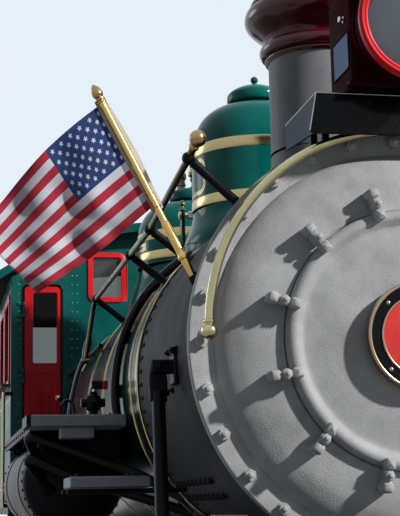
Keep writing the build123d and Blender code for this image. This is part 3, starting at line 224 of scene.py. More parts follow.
def make_paint(name, colour, worn, roughness, coat, shine, grain_scale, grain, dents, relief, dust, wear,
        metallic=0.0):
    """A painted finish: its colour, the metal or primer that shows where it is worn, and its skin."""
    material, tree, shader = new_material(name, roughness, metallic, coat)
    shader.inputs["Specular IOR Level"].default_value = shine
    skin = placed_group(tree, skin_group, Grain_Scale=grain_scale, Grain=grain, Dents=dents)
    weather = placed_group(tree, weather_group, Dust=dust, Wear=wear)
    darker = tuple(0.72 * part for part in colour)
    lighter = tuple(min(1.0, 1.18 * part) for part in colour)
    shade = mixed(tree, ranged(tree, skin.outputs["Mottle"], 0.3, 0.7), darker, lighter)
    shade = mixed(tree, weather.outputs["Dust Mask"], shade, (0.23, 0.21, 0.18))
    worn = worn if isinstance(worn, tuple) else (worn, worn, worn)
    shade = mixed(tree, weather.outputs["Wear Mask"], shade, worn)
    tree.links.new(shade, shader.inputs["Base Color"])
    rough = ranged(tree, skin.outputs["Mottle"], 0.3, 0.7, roughness * 0.85, min(1.0, roughness * 1.2))
    rough = math_node(tree, "MULTIPLY_ADD", weather.outputs["Dust Mask"], 0.45, rough, clamp=True)
    tree.links.new(rough, shader.inputs["Roughness"])
    bumped(tree, shader, skin.outputs["Height"], relief)
    return material


def make_metal(name, colour, tarnish_and_under_shade, roughness, tarnish, scratches):
    """Bare polished metal with its tarnish in soft patches, and painted shade that darkens what faces down
    towards the tarnish colour.
    """
    material, tree, shader = new_material(name, roughness, 1.0)
    polish = placed_group(tree, polish_group, Tarnish=tarnish, Scratches=scratches)
    shade = mixed(tree, polish.outputs["Tarnish Mask"], colour, tarnish_and_under_shade)
    # Painted shade: what faces down is mixed up to 60% towards the tarnish colour, standing in for the dark
    # ground that polished metal reflects.
    upward = parts_of(tree, tree.nodes.new("ShaderNodeNewGeometry").outputs["Normal"])[2]
    shade = mixed(tree, ranged(tree, upward, -0.3, 0.6, 0.6, 0.0), shade, tarnish_and_under_shade)
    tree.links.new(shade, shader.inputs["Base Color"])
    rough = math_node(tree, "MULTIPLY_ADD", polish.outputs["Tarnish Mask"], 0.3, roughness)
    tree.links.new(rough, shader.inputs["Roughness"])
    bumped(tree, shader, polish.outputs["Height"], 0.0006)
    return material


def make_glass(name, tint, roughness, body):
    material, tree, shader = new_material(name, roughness)
    set_inputs(shader, Transmission_Weight=body, IOR=1.45)
    smear = ranged(tree, noise(tree, object_place(tree), 12.0, 5.0, 0.6), 0.45, 0.8)
    tree.links.new(mixed(tree, smear, tint, tuple(0.8 * part for part in tint)), shader.inputs["Base Color"])
    tree.links.new(math_node(tree, "MULTIPLY_ADD", smear, 0.12, roughness), shader.inputs["Roughness"])
    return material


# name: colour, worn (a colour, or one number for a grey), roughness, coat, shine, grain scale, grain, dents,
# relief, dust, wear, and metallic where the paint has some
paint_finishes = {
    "graphite_grey": ((0.485, 0.505, 0.535), 0.6, 0.5, 0, 0.12, 250, 1, 0.5, 0.0018, 0.03, 0.15),
    "stack_grey": ((0.27, 0.28, 0.305), 0.3, 0.4, 0, 0.06, 240, 0.2, 0.5, 0.0008, 0.03, 0.15),
    "smokebox_grey": ((0.036, 0.038, 0.044), 0.13, 0.6, 0, 0.05, 200, 0.4, 0.6, 0.002, 0.06, 0.2),
    "dome_green": ((0.0015, 0.16, 0.146), (0.05, 0.2, 0.17), 0.14, 0, 0.1, 60, 0.1, 0.6, 0.0003, 0.01, 0.1),
    "boiler_green": ((0.002, 0.026, 0.026), (0.05, 0.09, 0.08), 0.2, 0.06, 0.12, 60, 0.1, 0.6,
        0.0004, 0.05, 0.1),
    "cab_green": ((0.002, 0.112, 0.105), (0.1, 0.25, 0.2), 0.36, 0.04, 0.12, 120, 0.2, 0.6, 0.0008,
        0.04, 0.15),
    "red_paint": ((0.85, 0.016, 0.03), (0.4, 0.02, 0.02), 0.32, 0.08, 0.2, 140, 0.2, 0.5, 0.0006, 0.02, 0.1),
    "plate_red": ((0.98, 0.065, 0.065), (0.5, 0.05, 0.05), 0.34, 0.03, 0.15, 140, 0.2, 0.4, 0.0004, 0, 0.05),
    "door_red": ((0.74, 0.01, 0.022), (0.4, 0.02, 0.02), 0.34, 0.06, 0.15, 140, 0.2, 0.5, 0.0006, 0.02, 0.1),
    # shelf_side_painted_sky: blue-grey paint on the black shelf's side plates, a painted sky reflection.
    "shelf_side_painted_sky": ((0.026, 0.046, 0.085), (0.1, 0.12, 0.15), 0.42, 0, 0.04, 90, 0.1, 0.5, 0.0005, 0.02, 0.1),
    "lamp_red": ((0.032, 0.003, 0.0065), (0.12, 0.02, 0.02), 0.6, 0, 0.01, 90, 0.1, 0.5, 0.0004, 0.01, 0.1),
    # lamp_pane_painted_sky: opaque blue paint on the lamp's side panes, a painted sky reflection.
    "lamp_pane_painted_sky": ((0.045, 0.135, 0.34), 0.3, 0.3, 0, 0.05, 60, 0.1, 0.3, 0.0002, 0.01, 0),
    "pipe_blue": ((0.012, 0.026, 0.06), (0.1, 0.1, 0.12), 0.34, 0.2, 0.3, 120, 0.2, 0.5, 0.0006, 0.05, 0.2),
    # rivet_painted_highlight: lighter teal than the cab wall, a painted highlight on the rivet heads; its
    # pale worn edges are both wear and painted highlight.
    "rivet_painted_highlight": ((0.03, 0.24, 0.21), (0.6, 0.62, 0.62), 0.16, 0.8, 0.6, 120, 0.1, 0.3, 0.0003, 0.02, 0.6),
    "dark_red_paint": ((0.08, 0.003, 0.008), (0.3, 0.03, 0.03), 0.2, 0.25, 0.25, 90, 0.1, 0.5,
        0.0004, 0.02, 0.12),
    "black_iron": ((0.0055, 0.0062, 0.0088), 0.05, 0.36, 0, 0.07, 160, 0.3, 0.5, 0.001, 0.03, 0.2),
    "gloss_black": ((0.003, 0.0034, 0.0045), 0.05, 0.22, 0.06, 0.08, 80, 0.1, 0.5, 0.0005, 0.03, 0.2),
    "frame_black": ((0.008, 0.008, 0.0085), (0.07, 0.06, 0.05), 0.5, 0, 0.14, 130, 0.5, 0.6, 0.002,
        0.16, 0.3),
    "cast_iron": ((0.016, 0.016, 0.017), (0.1, 0.09, 0.08), 0.5, 0, 0.25, 120, 0.6, 0.5, 0.002,
        0.15, 0.4, 0.2),
    "roof_black": ((0.01, 0.011, 0.012), 0.06, 0.5, 0, 0.2, 90, 0.3, 0.8, 0.0015, 0.2, 0.15),
    "tread_grey": ((0.15, 0.175, 0.205), 0.3, 0.5, 0, 0.25, 260, 0.4, 0.3, 0.001, 0.08, 0.25, 0.4),
    "wheel_black": ((0.008, 0.009, 0.01), (0.08, 0.08, 0.07), 0.34, 0, 0.2, 150, 0.3, 0.5, 0.001,
        0.15, 0.25),
    "soot": ((0.004, 0.004, 0.004), 0.02, 0.95, 0, 0.05, 80, 0.9, 0.9, 0.004, 0.05, 0),
    "gold_line": ((0.55, 0.38, 0.09), (0.5, 0.4, 0.2), 0.3, 0.3, 0.4, 120, 0.1, 0.4, 0.0004, 0.03, 0, 0.2),
    "cream_cloth": ((0.68, 0.66, 0.62), (0.5, 0.45, 0.4), 0.9, 0, 0.1, 900, 0.6, 0.5, 0.0008, 0.03, 0),
    "blind_black": ((0.01, 0.01, 0.012), 0.06, 0.9, 0, 0.05, 500, 0.5, 0.5, 0.0008, 0.03, 0),
    "seat_leather": ((0.06, 0.028, 0.014), (0.2, 0.1, 0.05), 0.45, 0.1, 0.4, 260, 0.8, 0.8, 0.0025,
        0.1, 0.5),
    "dial_white": ((0.7, 0.68, 0.62), 0.5, 0.35, 0.3, 0.5, 90, 0.1, 0.3, 0.0002, 0.03, 0),
    "floor_wood": ((0.07, 0.045, 0.026), (0.2, 0.14, 0.09), 0.7, 0, 0.3, 90, 0.7, 0.9, 0.002, 0.4, 0.4),
}
# name: colour, tarnish colour (which is also the painted shade on what faces down), roughness, tarnish,
# scratches
metal_finishes = {
    "brass": ((0.53, 0.45, 0.22), (0.26, 0.2, 0.09), 0.17, 0.4, 0.1),
    "rail_brass": ((0.54, 0.5, 0.29), (0.24, 0.2, 0.1), 0.17, 0.5, 0.12),
    "staff_brass": ((0.78, 0.52, 0.17), (0.42, 0.26, 0.09), 0.18, 0.35, 0.1),
    "old_brass": ((0.17, 0.135, 0.065), (0.06, 0.05, 0.03), 0.22, 0.6, 0.15),
    "bronze": ((0.46, 0.33, 0.15), (0.2, 0.13, 0.06), 0.22, 0.5, 0.15),
    "plate_bronze": ((0.48, 0.36, 0.26), (0.24, 0.16, 0.1), 0.24, 0.4, 0.12),
    "copper": ((0.78, 0.42, 0.26), (0.35, 0.18, 0.1), 0.26, 0.5, 0.15),
    "steel": ((0.56, 0.57, 0.58), (0.26, 0.25, 0.24), 0.26, 0.55, 0.35),
    "tyre_steel": ((0.5, 0.5, 0.5), (0.2, 0.18, 0.16), 0.32, 0.6, 0.4),
    "reflector": ((0.86, 0.87, 0.88), (0.6, 0.6, 0.6), 0.12, 0.2, 0.05),
}
finishes = {name: make_paint(name, *values) for name, values in paint_finishes.items()}
finishes.update({name: make_metal(name, *values) for name, values in metal_finishes.items()})
finishes["glass"] = make_glass("glass", (0.2, 0.22, 0.21), 0.03, 0.8)
finishes["lens_glass"] = make_glass("lens_glass", (0.5, 0.58, 0.66), 0.03, 0.9)


stripe_count = 13.0
field_length = 0.4
field_low = 6.0 / stripe_count


def make_flag_material():
    """Thirteen woven stripes with a blue field of staggered stars, and a faint painted emission in soft
    patches that stands in for sun shining through the cloth.
    """
    material, tree, shader = new_material("flag_cloth", 0.75)
    maths = partial(math_node, tree)
    uv = tree.nodes.new("ShaderNodeUVMap")
    uv.uv_map = "flag"
    along, up = parts_of(tree, uv.outputs["UV"])[:2]
    band = maths("FLOOR", maths("MULTIPLY", up, stripe_count))
    red_band = maths("COMPARE", maths("MODULO", band, 2.0), 0.0, 0.5)
    stripes = mixed(tree, red_band, (0.66, 0.69, 0.8), (0.42, 0.008, 0.035))
    in_field = maths("MULTIPLY", maths("LESS_THAN", along, field_length),
        maths("GREATER_THAN", up, field_low))
    across = maths("MULTIPLY", along, 12.0 / field_length)
    rise = maths("MULTIPLY", maths("SUBTRACT", up, field_low), 10.0 * stripe_count / 7.0)
    column = maths("ROUND", across)
    row = maths("ROUND", rise)
    even = maths("COMPARE", maths("MODULO", maths("ADD", column, row), 2.0), 0.0, 0.5)
    inside = maths("MULTIPLY", maths("COMPARE", column, 6.0, 5.5), maths("COMPARE", row, 5.0, 4.5))
    offset_x = maths("MULTIPLY", maths("SUBTRACT", across, column), 1.15)
    offset_y = maths("SUBTRACT", rise, row)
    squares = [maths("POWER", maths("ABSOLUTE", offset), 2.0) for offset in (offset_x, offset_y)]
    reach = maths("SQRT", maths("ADD", *squares))
    turn = maths("ARCTAN2", offset_x, offset_y)
    points = maths("MULTIPLY_ADD", maths("COSINE", maths("MULTIPLY", turn, 5.0)), 0.11, 0.33)
    star = maths("MULTIPLY", maths("LESS_THAN", reach, points), maths("MULTIPLY", even, inside))
    field = mixed(tree, star, (0.005, 0.03, 0.15), (0.6, 0.66, 0.8))
    shade = mixed(tree, in_field, stripes, field)
    place = object_place(tree)
    soil = ranged(tree, noise(tree, place, 22.0, 5.0, 0.6), 0.35, 0.75, 0.0, 0.1)
    shade = mixed(tree, soil, shade, (0.16, 0.14, 0.13), "MULTIPLY")
    tree.links.new(shade, shader.inputs["Base Color"])
    set_inputs(shader, Sheen_Weight=0.25, Sheen_Roughness=0.4, Emission_Strength=0.22)
    threads = [maths("SINE", maths("MULTIPLY", way, count)) for way, count in ((along, 900.0), (up, 620.0))]
    seam = maths("ABSOLUTE", maths("SUBTRACT", maths("FRACT", maths("MULTIPLY", up, stripe_count)), 0.5))
    height = maths("MULTIPLY_ADD", ranged(tree, seam, 0.4, 0.5), 1.5, maths("MULTIPLY", *threads))
    bumped(tree, shader, height, 0.0004)
    # Painted light: a faint emission of the cloth's own colours in soft patches, standing in for sun shining
    # through the thin cloth.
    painted_light_patches = ranged(tree, noise(tree, place, 5.0, 2.0, 0.5), 0.45, 0.7)
    tree.links.new(mixed(tree, painted_light_patches, (0.0, 0.0, 0.0), shade), shader.inputs["Emission Color"])
    return material


finishes["flag_cloth"] = make_flag_material()


# Shapes

at = Matrix.Translation


def frame_along(direction, up=Vector((0, 0, 1))):
    """A turn that takes local Z along the direction, with local Y as near to up as it can be."""
    z = Vector(direction).normalized()
    x = up.cross(z)
    if x.length < 1e-6:
        x = Vector((0, 1, 0)).cross(z)
    x.normalize()
    return Matrix((x, z.cross(x), z)).transposed()


def set_at(place, direction=(0, 0, 1), up=Vector((0, 0, 1))):
    """A matrix that sets a local shape at a place with its local Z along a direction."""
    return at(place) @ frame_along(direction, up).to_4x4()


def beside(side, x, y, z):
    """A place on one side of the engine, with its local Z away from the middle."""
    return set_at((x, side * y, z), (0, side, 0))


def joined_rows(rows, count, closed):
    """Faces between rows of so many points, each row a ring, and back to the first row where closed."""
    faces = []
    for row in range(rows if closed else rows - 1):
        near, far = row * count, (row + 1) % rows * count
        for step in range(count):
            following = (step + 1) % count
            faces.append([near + step, near + following, far + following, far + step])
    return faces


def turned_faces(rows):
    """Faces between rings of point numbers, where a ring of one point closes the shape."""
    faces = []
    for lower, upper in zip(rows, rows[1:]):
        for step in range(max(len(row) for row in rows)):
            ring = [lower[step % len(lower)], lower[(step + 1) % len(lower)]]
            ring += [upper[(step + 1) % len(upper)], upper[step % len(upper)]]
            face = list(dict.fromkeys(ring))
            if len(face) > 2:
                faces.append(face)
    return faces


def spread(first, span, count):
    """So many evenly spaced numbers, the first and those up to a span from it."""
    return [first + span * index / (count - 1) for index in range(count)]


def arc(radius, first, last, steps, centre=(0.0, 0.0)):
    """Points of an arc in degrees, as (first, second) pairs."""
    made = []
    for step in range(steps + 1):
        angle = math.radians(first + (last - first) * step / steps)
        made.append((centre[0] + radius * math.cos(angle), centre[1] + radius * math.sin(angle)))
    return made


def rounded(left, right, low, high, radius, steps=5):
    """A rectangle with round corners, as a counter-clockwise outline."""
    outline = []
    for x, y, start in ((right, low, -90), (right, high, 0), (left, high, 90), (left, low, 180)):
        centre = (x - radius if x == right else x + radius, y + radius if y == low else y - radius)
        outline += arc(radius, start, start + 90, steps, centre)
    return outline


def eased(points, steps=6):
    """A smooth line through points, each stretch in so many steps."""
    made = []
    count = len(points)
    for index in range(count - 1):
        before = Vector(points[max(index - 1, 0)])
        first = Vector(points[index])
        last = Vector(points[index + 1])
        after = Vector(points[min(index + 2, count - 1)])
        for step in range(steps):
            t = step / steps
            part = 2 * first + (last - before) * t
            part += (2 * before - 5 * first + 4 * last - after) * t**2
            part += (3 * first - before - 3 * last + after) * t**3
            made.append(tuple(0.5 * part))
    made.append(tuple(points[-1]))
    return made


class Piece:
    """One piece's mesh, gathered from turned, drawn and plate shapes, in its main finish or in others."""

    def __init__(self, name, body="chassis", finish=None):
        self.name = name
        self.body = body
        self.finish = finish
        self.points = []
        self.faces = []
        self.marks = []
        self.finishes = []

    def add(self, points, faces, finish=None, matrix=None):
        finish = finish or self.finish
        if finish not in self.finishes:
            self.finishes.append(finish)
        base = len(self.points)
        for point in points:
            point = Vector(point)
            self.points.append(matrix @ point if matrix else point)
        mark = self.finishes.index(finish)
        flip = matrix is not None and matrix.determinant() < 0
        for face in faces:
            face = [base + corner for corner in face]
            self.faces.append(face[::-1] if flip else face)
            self.marks.append(mark)

    def turned(self, outline, matrix, segments=48, finish=None):
        """A shape turned about local Z, from (radius, height) points, closed where the radius is nothing."""
        points = []
        rows = []
        for radius, height in outline:
            if radius < 1e-6:
                rows.append([len(points)])
                points.append((0, 0, height))
                continue
            row = []
            for step in range(segments):
                angle = 2 * math.pi * step / segments
                row.append(len(points))
                points.append((radius * math.cos(angle), radius * math.sin(angle), height))
            rows.append(row)
        self.add(points, turned_faces(rows), finish, matrix)

    def rod(self, start, end, radius, sides=20, finish=None):
        """A straight round bar with softened ends."""
        start = Vector(start)
        run = Vector(end) - start
        edge = min(0.002, radius * 0.4, run.length * 0.3)
        outline = [(0, 0), (radius - edge, 0), (radius, edge), (radius, run.length - edge),
            (radius - edge, run.length)]
        self.turned(outline + [(0, run.length)], set_at(start, run), sides, finish)

    def ball(self, centre, radius, sides=24, finish=None):
        outline = [(radius * math.sin(math.pi * step / 12), -radius * math.cos(math.pi * step / 12))
            for step in range(13)]
        outline[0] = (0, -radius)
        outline[-1] = (0, radius)
        self.turned(outline, at(centre), sides, finish)

    def pipe(self, route, radius, sides=14, closed=False, finish=None):
        """A round tube that follows points without twisting."""
        route = [Vector(point) for point in route]
        count = len(route)
        points = []
        across = None
        for index, place in enumerate(route):
            before = route[index - 1] if index or closed else route[0]
            after = route[(index + 1) % count] if index < count - 1 or closed else route[-1]
            along = (after - before).normalized()
            if across is None:
                across = along.orthogonal().normalized()
            across = (across - along * across.dot(along)).normalized()
            other = along.cross(across)
            for step in range(sides):
                angle = 2 * math.pi * step / sides
                points.append(place + radius * (math.cos(angle) * across + math.sin(angle) * other))
        faces = joined_rows(count, sides, closed)
        if not closed:
            faces.append(list(range(sides))[::-1])
            faces.append(list(range((count - 1) * sides, count * sides)))
        self.add(points, faces, finish)

    def slab(self, outline, low, high, matrix=None, edge=0.002, finish=None):
        """A plate with softened edges, from a local XY outline, between two local heights."""
        count = len(outline)
        area = sum(outline[i - 1][0] * outline[i][1] - outline[i][0] * outline[i - 1][1]
            for i in range(count))
        if area < 0:
            outline = outline[::-1]
        inner = []
        for index in range(count):
            place = Vector(outline[index])
            into = (place - Vector(outline[index - 1])).normalized()
            out = (Vector(outline[(index + 1) % count]) - place).normalized()
            normal = Vector((-into.y - out.y, into.x + out.x))
            if normal.length < 1e-6:
                normal = Vector((-into.y, into.x))
            normal.normalize()
            lean = max(0.35, normal.dot(Vector((-into.y, into.x))))
            inner.append(place + normal * (edge / lean))
        edge = min(edge, (high - low) * 0.45)
        rows = ((inner, low), (outline, low + edge), (outline, high - edge), (inner, high))
        points = [(x, y, height) for row, height in rows for x, y in row]
        faces = [list(range(count))[::-1], list(range(3 * count, 4 * count))]
        self.add(points, faces + joined_rows(4, count, False), finish, matrix)

    def block(self, low, high, edge=0.003, matrix=None, finish=None):
        """A box between two corners, with softened edges."""
        low, high = Vector(map(min, low, high)), Vector(map(max, low, high))
        edge = min(edge, 0.3 * min(high - low))
        outline = []
        for x, y, turn_x, turn_y in ((high.x, high.y, -1, -1), (low.x, high.y, 1, -1), (low.x, low.y, 1, 1),
                (high.x, low.y, -1, 1)):
            corner = [(x + turn_x * edge, y), (x, y + turn_y * edge)]
            outline += corner if turn_x * turn_y < 0 else corner[::-1]
        self.slab(outline, low.z, high.z, matrix, edge, finish)

    def nut(self, matrix, size, height=None, stud=True, finish=None):
        """A hexagon nut on its washer, with the end of its stud, standing along local Z."""
        height = height or size * 0.8
        base = size * 0.16
        self.turned([(size * 1.22, 0), (size * 1.22, base * 0.7), (size * 1.16, base), (0, base)], matrix,
            20, finish)
        corners = [math.radians(60 * corner) for corner in range(6)]
        hexagon = [(size * 1.12 * math.cos(angle), size * 1.12 * math.sin(angle)) for angle in corners]
        self.slab(hexagon, base - size * 0.05, base + height, matrix, size * 0.12, finish)
        if stud:
            top = base + height + size * 0.5
            self.turned([(size * 0.52, base), (size * 0.52, top - size * 0.15), (size * 0.35, top),
                (0, top + size * 0.04)], matrix, 14, finish)

    def rivet(self, matrix, radius, finish=None):
        rise = radius * 0.7
        outline = [(radius, -radius * 0.2), (radius * 0.97, rise * 0.2), (radius * 0.72, rise * 0.72),
            (radius * 0.36, rise * 0.96)]
        self.turned(outline + [(0, rise)], matrix, 10, finish)

    def done(self, *replaced, slot=None, sharp=38.0):
        mesh = bpy.data.meshes.new(self.name)
        mesh.from_pydata([tuple(point) for point in self.points], [], self.faces)
        for finish in self.finishes:
            mesh.materials.append(finishes[finish])
        mesh.polygons.foreach_set("material_index", self.marks)
        mesh.validate()
        mesh.shade_smooth()
        mesh.set_sharp_from_angle(angle=math.radians(sharp))
        piece = bpy.data.objects.new(self.name, mesh)
        bpy.context.scene.collection.objects.link(piece)
        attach(piece, self.body)
        if replaced:
            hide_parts(*replaced)
        return piece


def around(angle, radius, x=0.0):
    """A place at an angle in degrees from the top of the boiler, towards the right side."""
    turn = math.radians(angle)
    return Vector((x, -radius * math.sin(turn), boiler_z + radius * math.cos(turn)))


def outward(angle):
    turn = math.radians(angle)
    return Vector((0, -math.sin(turn), math.cos(turn)))


forward = Vector((1, 0, 0))
boiler_line = set_at((0, 0, boiler_z), forward)


# The smokebox front and what it carries

ring_line = set_at((ring_x, 0, boiler_z), forward)
bolt_circle = 0.945 * ring_radius
bolt_count = 28
door_radius = 0.425
hinge_x = ring_x + 0.15
hinge_y = 0.486
hinge_heights = (-0.23, 0.23)
dish_outline = eased([(0.637, 0.0), (0.633, 0.014), (0.621, 0.03), (0.603, 0.045), (0.58, 0.058),
    (0.548, 0.071), (0.49, 0.084), (0.433, 0.091)], 6)


def make_smokebox_front():
    """Bolted ring and dished plate around the door."""
    piece = Piece("smokebox_front_casting", finish="graphite_grey")
    outline = [(0.636, -0.034), (0.719, -0.034)]
    outline += arc(0.007, 0, 90, 4, (0.713, -0.007))
    outline += [(0.641, 0.0)] + dish_outline
    outline += [(0.431, 0.092), (0.428, 0.09), (0.428, 0.08), (0.4, 0.08), (0.4, 0.06), (0.54, 0.06)]
    outline += [(0.61, 0.01), (0.636, -0.034)]
    piece.turned(outline, ring_line, 144)
    for index in range(bolt_count):
        place = around(360 * index / bolt_count, bolt_circle, ring_x)
        spin = Matrix.Rotation(math.radians(random.uniform(0, 60)), 4, "Z")
        piece.nut(set_at(place, forward) @ spin, 0.0182, 0.02)
    for height in hinge_heights:
        for end in (-1, 1):
            middle = boiler_z + height + end * 0.0515
            piece.rod((hinge_x, hinge_y, middle - 0.01), (hinge_x, hinge_y, middle + 0.01), 0.02)
            piece.block((ring_x + 0.09, 0.474, middle - 0.01), (hinge_x, 0.506, middle + 0.01))
    piece.done("smokebox_front", slot="graphite_grey")


def make_smokebox_door():
    """Round pressed door with a rolled rim, on two strap hinges."""
    piece = Piece("smokebox_door_pressing", "smokebox_door", finish="graphite_grey")
    outline = [(0, 0.081), (door_radius - 0.004, 0.081), (door_radius, 0.085), (door_radius, 0.104)]
    outline += arc(0.024, 0, 88, 8, (door_radius - 0.024, 0.104))
    outline += eased([(0.393, 0.1265), (0.38, 0.117), (0.367, 0.111), (0.335, 0.115), (0.27, 0.1265),
        (0.2, 0.136), (0.12, 0.143), (0.0, 0.146)], 4)
    piece.turned(outline, ring_line, 128)
    strap = [(0.235, -0.026), (0.42, -0.026), (hinge_y, -0.022), (hinge_y, 0.022), (0.42, 0.026),
        (0.235, 0.026)]
    strap += arc(0.026, 100, 260, 6, (0.235, 0.0))
    for height in hinge_heights:
        z = boiler_z + height
        piece.slab(strap, 0.0, 0.018, set_at((ring_x + 0.118, 0, z), forward), 0.004)
        for reach, radius, finish in ((0.04, 0.022, "graphite_grey"), (0.07, 0.01, "steel")):
            piece.rod((hinge_x, hinge_y, z - reach), (hinge_x, hinge_y, z + reach), radius, finish=finish)
        for y in (0.235, 0.3, 0.36, 0.415):
            piece.nut(set_at((ring_x + 0.135, y, z), forward), 0.01, 0.008, stud=False)
    piece.done("smokebox_door", slot="graphite_grey")


def make_door_dogs():
    """Forged clamps round the door, each on its stud with a nut."""
    piece = Piece("door_clamps", "smokebox_door", finish="graphite_grey")
    outer = rounded(-0.0175, 0.0175, 0.021, 0.054, 0.01, 4)
    inner = rounded(-0.0165, 0.0165, -0.054, -0.019, 0.007, 4)
    shank = rounded(-0.012, 0.012, -0.02, 0.03, 0.006, 3)
    for index in range(12):
        angle = 15 + 30 * index
        lean = Matrix.Rotation(math.radians(random.uniform(-9, 9)), 4, "Z")
        place = set_at(around(angle, 0.451, ring_x + 0.122), forward, outward(angle)) @ lean
        for outline, low, high, edge in ((outer, -0.04, 0.031, 0.007), (inner, -0.006, 0.036, 0.007),
                (shank, -0.029, 0.022, 0.005)):
            piece.slab(outline, low, high, place, edge)
        piece.nut(place @ at((0, 0, 0.0205)), 0.0145, 0.014)
        piece.turned([(0.011, -0.03), (0.011, 0.004)], place, 12)
    piece.done("door_dogs", slot="graphite_grey", sharp=50)


def make_number_plate():
    """Round plate with two rolled rims, a bare band between them and a bare middle."""
    piece = Piece("round_plate", "smokebox_door", finish="plate_bronze")
    piece.turned([(0, 0.13), (0.06, 0.13), (0.06, 0.158)], ring_line, 32, finish="graphite_grey")
    piece.turned([(0.06, 0.158), (0.174, 0.158), (0.178, 0.162), (0.178, 0.184)]
        + arc(0.006, 0, 180, 6, (0.172, 0.184)) + [(0.166, 0.181)], ring_line, 96)
    piece.turned([(0.166, 0.181), (0.134, 0.181)], ring_line, 96, finish="gloss_black")
    piece.turned([(0.134, 0.181)] + arc(0.004, 0, 180, 6, (0.13, 0.184)) + [(0.126, 0.182)], ring_line, 96)
    piece.turned([(0.126, 0.182), (0.12, 0.1835), (0.05, 0.185), (0, 0.1855)], ring_line, 96,
        finish="plate_red")
    for angle in (45, 135, 225, 315):
        piece.turned([(0.007, -0.002), (0.007, 0.002), (0.005, 0.004), (0, 0.005)],
            set_at(around(angle, 0.15, ring_x + 0.181), forward), 14)
    piece.done("number_plate", slot="brass")


def make_front_rail():
    """Curved rail over the front, with a ball at each end, on short brackets."""
    piece = Piece("curved_front_rail", finish="rail_brass")
    rail_x = ring_x + 0.072
    radius = 0.666
    centre_z = boiler_z + 0.038
    turns = [math.radians(1.5 * step) for step in range(121)]
    route = [Vector((rail_x, -radius * math.cos(turn), centre_z + radius * math.sin(turn)))
        for turn in turns]
    piece.pipe(route, 0.015, 20)
    for side in (-1, 1):
        low = Vector((rail_x, side * radius, centre_z - 0.012))
        piece.turned([(0, -0.027)] + arc(0.027, -80, 58, 14)
            + [(0.015, 0.026), (0.0185, 0.029), (0.0185, 0.036), (0.0152, 0.039)], at(low), 28)
        piece.rod((ring_x - 0.004, low.y, low.z), (rail_x, low.y, low.z), 0.009, finish="graphite_grey")
        piece.turned([(0.02, 0), (0.02, 0.004), (0.012, 0.008), (0.01, 0.012)],
            set_at((ring_x, low.y, low.z), forward), 24, finish="graphite_grey")
    piece.done("front_rail", slot="brass")


def make_smokebox():
    """Riveted smokebox barrel, with the saddle's studs and a wrapper strap."""
    piece = Piece("smokebox_barrel", finish="smokebox_grey")
    front = ring_x - 0.034
    strap_radius, inner_radius = 0.6945, 0.676
    rear = jacket_front_x - 0.002
    outline = [(0.689, rear), (smokebox_radius, rear + 0.002), (smokebox_radius, front),
        (inner_radius, front), (inner_radius, rear + 0.02)]
    piece.turned(outline, boiler_line, 128)
    piece.turned([(inner_radius, rear + 0.02), (0, rear + 0.02)], boiler_line, 64, finish="soot")
    piece.turned([(0.69, front - 0.052), (strap_radius, front - 0.051), (strap_radius, front)], boiler_line,
        128)
    count = 80
    for x, radius in ((front - 0.03, strap_radius), (rear + 0.045, smokebox_radius),
            (rear + 0.085, smokebox_radius)):
        for index in range(count):
            angle = 360 * (index + 0.5) / count
            piece.rivet(set_at(around(angle, radius, x), outward(angle)), 0.0095)
    for side in (-1, 1):
        for angle in (side * 128, side * 134):
            for x in spread(stack_x - 0.32, 0.64, 9):
                piece.nut(set_at(around(angle, smokebox_radius, x), outward(angle)), 0.013, 0.011)
    piece.done("smokebox", slot="dark_grey")


def saddle_turned(piece, outline, x, shell_radius, seat, finish=None):
    """A shape turned about an upright line, whose foot follows a barrel below it."""
    points = []
    rows = []
    segments = 96
    foot = outline[0][1]
    for radius, height in outline:
        row = []
        follow = max(0.0, 1.0 - (height - foot) / seat)
        for step in range(segments):
            angle = 2 * math.pi * step / segments
            across = radius * math.sin(angle)
            drop = (math.sqrt(shell_radius**2 - across**2) - shell_radius) * follow
            row.append(len(points))
            points.append((x + radius * math.cos(angle), across, boiler_z + height + drop))
        rows.append(row)
    piece.add(points, turned_faces(rows), finish)


